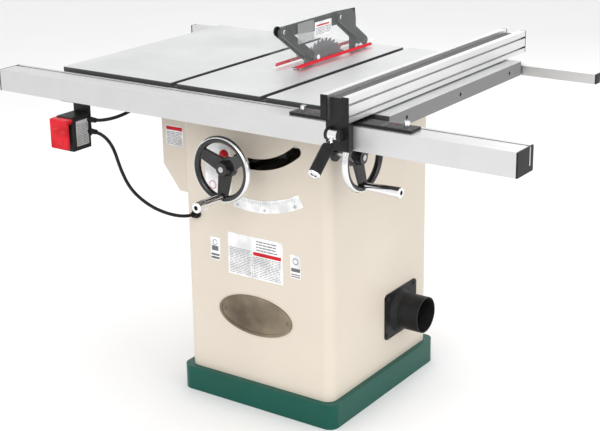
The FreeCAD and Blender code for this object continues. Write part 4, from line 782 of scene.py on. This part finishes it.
class SAW_OT_guard(bpy.types.Operator):
    """Red edges, screws and stickers of the blade guard"""
    bl_idname = "table_saw.guard"
    bl_label = "Blade guard"

    def execute(self, context):
        for side, word in ((1, "right"), (-1, "left")):
            shield_trim(side, word)
            for end, (y, z) in PIVOTS.items():
                link = "%s_%s_link" % (word, end)
                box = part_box(link)
                face = (box[1][0] if side > 0 else box[0][0]) / MM
                bm = bmesh.new()
                stud(bm, face, y, z, 5.5, 2.4, side)
                add_piece(link + "_screw", from_bmesh(link + "_screw", bm), "white", link)
        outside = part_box("right_shield")[1][0]
        skin = on_side(outside)
        body = "right_shield"
        bars("shield_sticker", [rounded(-0.002, 0.982, 0.078, 1.020, 0.002)], skin, FILM, "white", body)
        above = on_side(outside + FILM)
        bars("shield_sticker_red", [strip(6, 1008, 66, 1012)], above, PRINT, "red", body)
        bars("shield_sticker_print", text_rows(2, 74, 985, 1004, 4, 3, 1.4), above, PRINT, "ink", body)
        bars("shield_film", [rounded(-0.082, 0.975, -0.006, 1.030, 0.002)], skin, FILM, "film", body)
        return {"FINISHED"}


# ---- fence, rails and switch ----

LEVER = Vector(JOINTS["lever_lift"]["pos_m"])
LEVER_WAY = Vector((0, -0.754, -0.657)).normalized()
# how far along the lever its grip starts, the grip's length, and its ribs, in metres
GRIP_START, GRIP_LONG = 0.0322, 0.075
RIBS, RIB_FIRST, RIB_PITCH = 14, 0.006, 0.0046
RIB_TOP, RIB_FOOT, GRIP_BORE = 0.0143, 0.0135, 0.0052


def along(start, way):
    """A matrix at a point with Z along a direction."""
    turn = Vector(way).to_track_quat("Z", "Y").to_matrix().to_4x4()
    turn.translation = Vector(start)
    return turn


class SAW_OT_grip(bpy.types.Operator):
    """Ribbed sleeve and chrome end ring of the fence lever"""
    bl_idname = "table_saw.grip"
    bl_label = "Lever grip"

    def execute(self, context):
        foot = LEVER + LEVER_WAY * GRIP_START
        profile = [(GRIP_BORE, 0.0), (0.0125, 0.0), (0.0142, 0.003)]
        for rib in range(RIBS):
            start = RIB_FIRST + rib * RIB_PITCH
            profile += [(RIB_TOP, start), (RIB_TOP, start + 0.003), (RIB_FOOT, start + 0.0034),
                        (RIB_FOOT, start + 0.0042)]
        profile += [(RIB_TOP, 0.0715), (RIB_TOP, GRIP_LONG), (GRIP_BORE, GRIP_LONG)]
        bm = bmesh.new()
        lathe(bm, profile, along(foot, LEVER_WAY), 40)
        sleeve = add_piece("lever_sleeve", from_bmesh("lever_sleeve", bm), "grip", "lever", smooth=False)
        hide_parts("fence_grip")
        bm = bmesh.new()
        ring = [(0.0075, 0.0), (0.0148, 0.0), (0.0150, 0.0015), (0.0142, 0.0045), (0.0110, 0.0056),
                (0.0080, 0.0050), (0.0075, 0.0035)]
        lathe(bm, ring, along(foot + LEVER_WAY * (GRIP_LONG + 0.0004), LEVER_WAY), 40)
        add_piece("lever_end_ring", from_bmesh("lever_end_ring", bm), "chrome", "lever")
        return {"FINISHED"}


# the end cap's slot and the cursors' hair lines, in millimetres
SLOT_BACK, SLOT_HALF = 59, 2.2
LINE_IN, LINE_HALF = 46, 0.5


class SAW_OT_rail_details(bpy.types.Operator):
    """Slot in the rail's end cap, cursor lines and the switch plate"""
    bl_idname = "table_saw.rail_details"
    bl_label = "Rail and switch details"

    def execute(self, context):
        cap_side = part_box("rail_caps")[1][0]
        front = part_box("front_rail")
        y = front[0][1] / MM + SLOT_BACK
        z0, z1 = front[0][2] / MM, front[1][2] / MM
        slot = [strip(y - SLOT_HALF, z0 + 14, y + SLOT_HALF, z1 - 1)]
        bars("cap_slot", slot, on_side(cap_side), 0.0002, "aluminium", "cabinet")
        low, high = (Vector(corner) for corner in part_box("cursor_windows"))
        y0, y1 = low.y / MM + 4, high.y / MM - 3
        for word, centre in (("left", low.x / MM + LINE_IN), ("right", high.x / MM - LINE_IN)):
            line = [strip(centre - LINE_HALF, y0, centre + LINE_HALF, y1)]
            bars(word + "_hair_line", line, Matrix.Translation((0, 0, high.z)), PRINT, "red", "fence")
        low, high = (Vector(corner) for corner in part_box("switch_box"))
        plate = [rounded(low.y + 0.020, low.z + 0.012, high.y - 0.010, high.z - 0.012, 0.002)]
        bars("switch_plate", plate, on_side(high.x), STICKER, "grey_film", "cabinet")
        y0, y1 = low.y / MM + 22, high.y / MM - 12
        rows = text_rows(y0, y1, low.z / MM + 15, high.z / MM - 22, 4.4, 11)
        bars("switch_plate_print", rows, on_side(high.x + STICKER), PRINT, "ink", "cabinet")
        return {"FINISHED"}


class SAW_OT_handle_ends(bpy.types.Operator):
    """Black ring at the end of each crank handle, painted shade inside its socket"""
    bl_idname = "table_saw.handle_ends"
    bl_label = "Handle ends"

    def execute(self, context):
        for node, body, axis in (("height_handle", "height_grip", Vector((0, -1, 0))),
                                 ("tilt_handle", "tilt_grip", Vector((1, 0, 0)))):
            low, high = (Vector(corner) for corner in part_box(node))
            end = (low + high) / 2
            if axis.y:
                end.y = low.y
            else:
                end.x = high.x
            bm = bmesh.new()
            # a thin black tube wall painted as the shade inside the handle's socket
            ring = [(0.0058, -0.0110), (0.0058, -0.0002), (0.0066, 0.0), (0.0066, -0.0110)]
            lathe(bm, ring, along(end, axis), 32)
            add_piece(node + "_socket_shade", from_bmesh(node + "_socket_shade", bm), "black", body)
        return {"FINISHED"}


# ---- stage ----

def area_light(name, place, target, size, power):
    """A soft square light aimed at a point."""
    data = bpy.data.lights.new(name, "AREA")
    data.shape = "SQUARE"
    data.size = size
    data.energy = power
    lamp = bpy.data.objects.new(name, data)
    bpy.context.scene.collection.objects.link(lamp)
    lamp.location = place
    way = Vector(target) - Vector(place)
    lamp.rotation_euler = way.to_track_quat("-Z", "Y").to_euler()
    return lamp


FLOOR_LEVEL = -0.0005

# each lamp's name, place and size in metres, and its share of the key light's power
LAMPS = [
    ("key_light", (1.2, -3.4, 3.0), 2.4, 1.0),
    ("side_light", (3.6, -0.4, 2.2), 2.2, 0.45),
    ("top_light", (0.2, 0.3, 3.6), 2.6, 0.45),
    ("left_light", (-3.4, -1.2, 2.0), 2.2, 0.16),
    ("back_light", (0.0, 3.8, 2.6), 2.4, 0.35),
]

# the camera's place in metres, where it looks, its right side, and its shift
CAMERA_PLACE = (1.9850, -2.8974, 1.6736)
CAMERA_WAY = (-0.5382, 0.7870, -0.3017)
CAMERA_RIGHT = (0.8275, 0.5613, -0.0121)
CAMERA_SHIFT = (-0.0165, -0.0494)


def add_camera(lens):
    """The camera, off the saw's front right corner."""
    data = bpy.data.cameras.new("view")
    data.lens = lens
    data.sensor_width = 36.0
    data.shift_x, data.shift_y = CAMERA_SHIFT
    data.clip_end = 100
    camera = bpy.data.objects.new("view", data)
    bpy.context.scene.collection.objects.link(camera)
    right = Vector(CAMERA_RIGHT).normalized()
    forward = Vector(CAMERA_WAY).normalized()
    up = right.cross(forward).normalized()
    turn = Matrix((right, up, -forward)).transposed().to_4x4()
    turn.translation = Vector(CAMERA_PLACE)
    camera.matrix_world = turn
    return camera


class SAW_OT_stage(bpy.types.Operator):
    """Set the floor, the lights and the camera"""
    bl_idname = "table_saw.stage"
    bl_label = "Floor, light and camera"

    def execute(self, context):
        look = context.scene.table_saw_stage
        half = look.floor_size / 2
        mesh = bpy.data.meshes.new("floor")
        corners = [(-half, -half), (half, -half), (half, half), (-half, half)]
        mesh.from_pydata([(x, y, FLOOR_LEVEL) for x, y in corners], [], [(0, 1, 2, 3)])
        finish, tree, main = shader("pale_floor")
        cloud = grain(tree, 1.2, detail=3)
        pale = tuple(look.floor_colour)
        near = tuple(c * 0.985 for c in pale)
        tree.links.new(ramp(tree, cloud.outputs["Fac"], near, pale), main.inputs["Base Color"])
        main.inputs["Roughness"].default_value = 0.7
        mesh.materials.append(finish)
        floor = bpy.data.objects.new("floor", mesh)
        context.scene.collection.objects.link(floor)
        target = (0, 0, 0.55)
        lamps = [area_light(name, place, target, size, look.key_power * share)
                 for name, place, size, share in LAMPS]
        context.scene.view_settings.view_transform = "Standard"
        world = bpy.data.worlds.new("soft_sky")
        world.use_nodes = True
        world.node_tree.nodes["Background"].inputs["Color"].default_value = (1, 1, 1, 1)
        world.node_tree.nodes["Background"].inputs["Strength"].default_value = 0.97
        context.scene.world = world
        context.scene.camera = add_camera(look.lens)
        return {"FINISHED"}


class SAW_PT_panel(bpy.types.Panel):
    """The saw's pieces in the sidebar"""
    bl_idname = "SAW_PT_panel"
    bl_label = "Table Saw"
    bl_space_type = "VIEW_3D"
    bl_region_type = "UI"
    bl_category = "Table Saw"

    def draw(self, context):
        column = self.layout.column()
        for group in ("table_saw_finishes", "table_saw_sizes", "table_saw_stage"):
            settings = getattr(context.scene, group)
            for name in settings.__annotations__:
                column.prop(settings, name)
        for operator in OPERATORS:
            column.operator(operator.bl_idname)


GROUPS = {"table_saw_finishes": TableSawFinishes, "table_saw_sizes": TableSawSizes,
          "table_saw_stage": TableSawStage}
OPERATORS = (SAW_OT_finishes, SAW_OT_cords, SAW_OT_front_prints, SAW_OT_badge, SAW_OT_guard,
             SAW_OT_grip, SAW_OT_rail_details, SAW_OT_handle_ends, SAW_OT_stage)


def register():
    for name, group in GROUPS.items():
        bpy.utils.register_class(group)
        setattr(bpy.types.Scene, name, bpy.props.PointerProperty(type=group))
    for operator in OPERATORS:
        bpy.utils.register_class(operator)
    bpy.utils.register_class(SAW_PT_panel)


def unregister():
    bpy.utils.unregister_class(SAW_PT_panel)
    for operator in reversed(OPERATORS):
        bpy.utils.unregister_class(operator)
    for name, group in GROUPS.items():
        delattr(bpy.types.Scene, name)
        bpy.utils.unregister_class(group)


def main():
    """Make every piece in order."""
    register()
    for operator in OPERATORS:
        family, action = operator.bl_idname.split(".")
        getattr(getattr(bpy.ops, family), action)()
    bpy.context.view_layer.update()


if __name__ == "__main__":
    main()
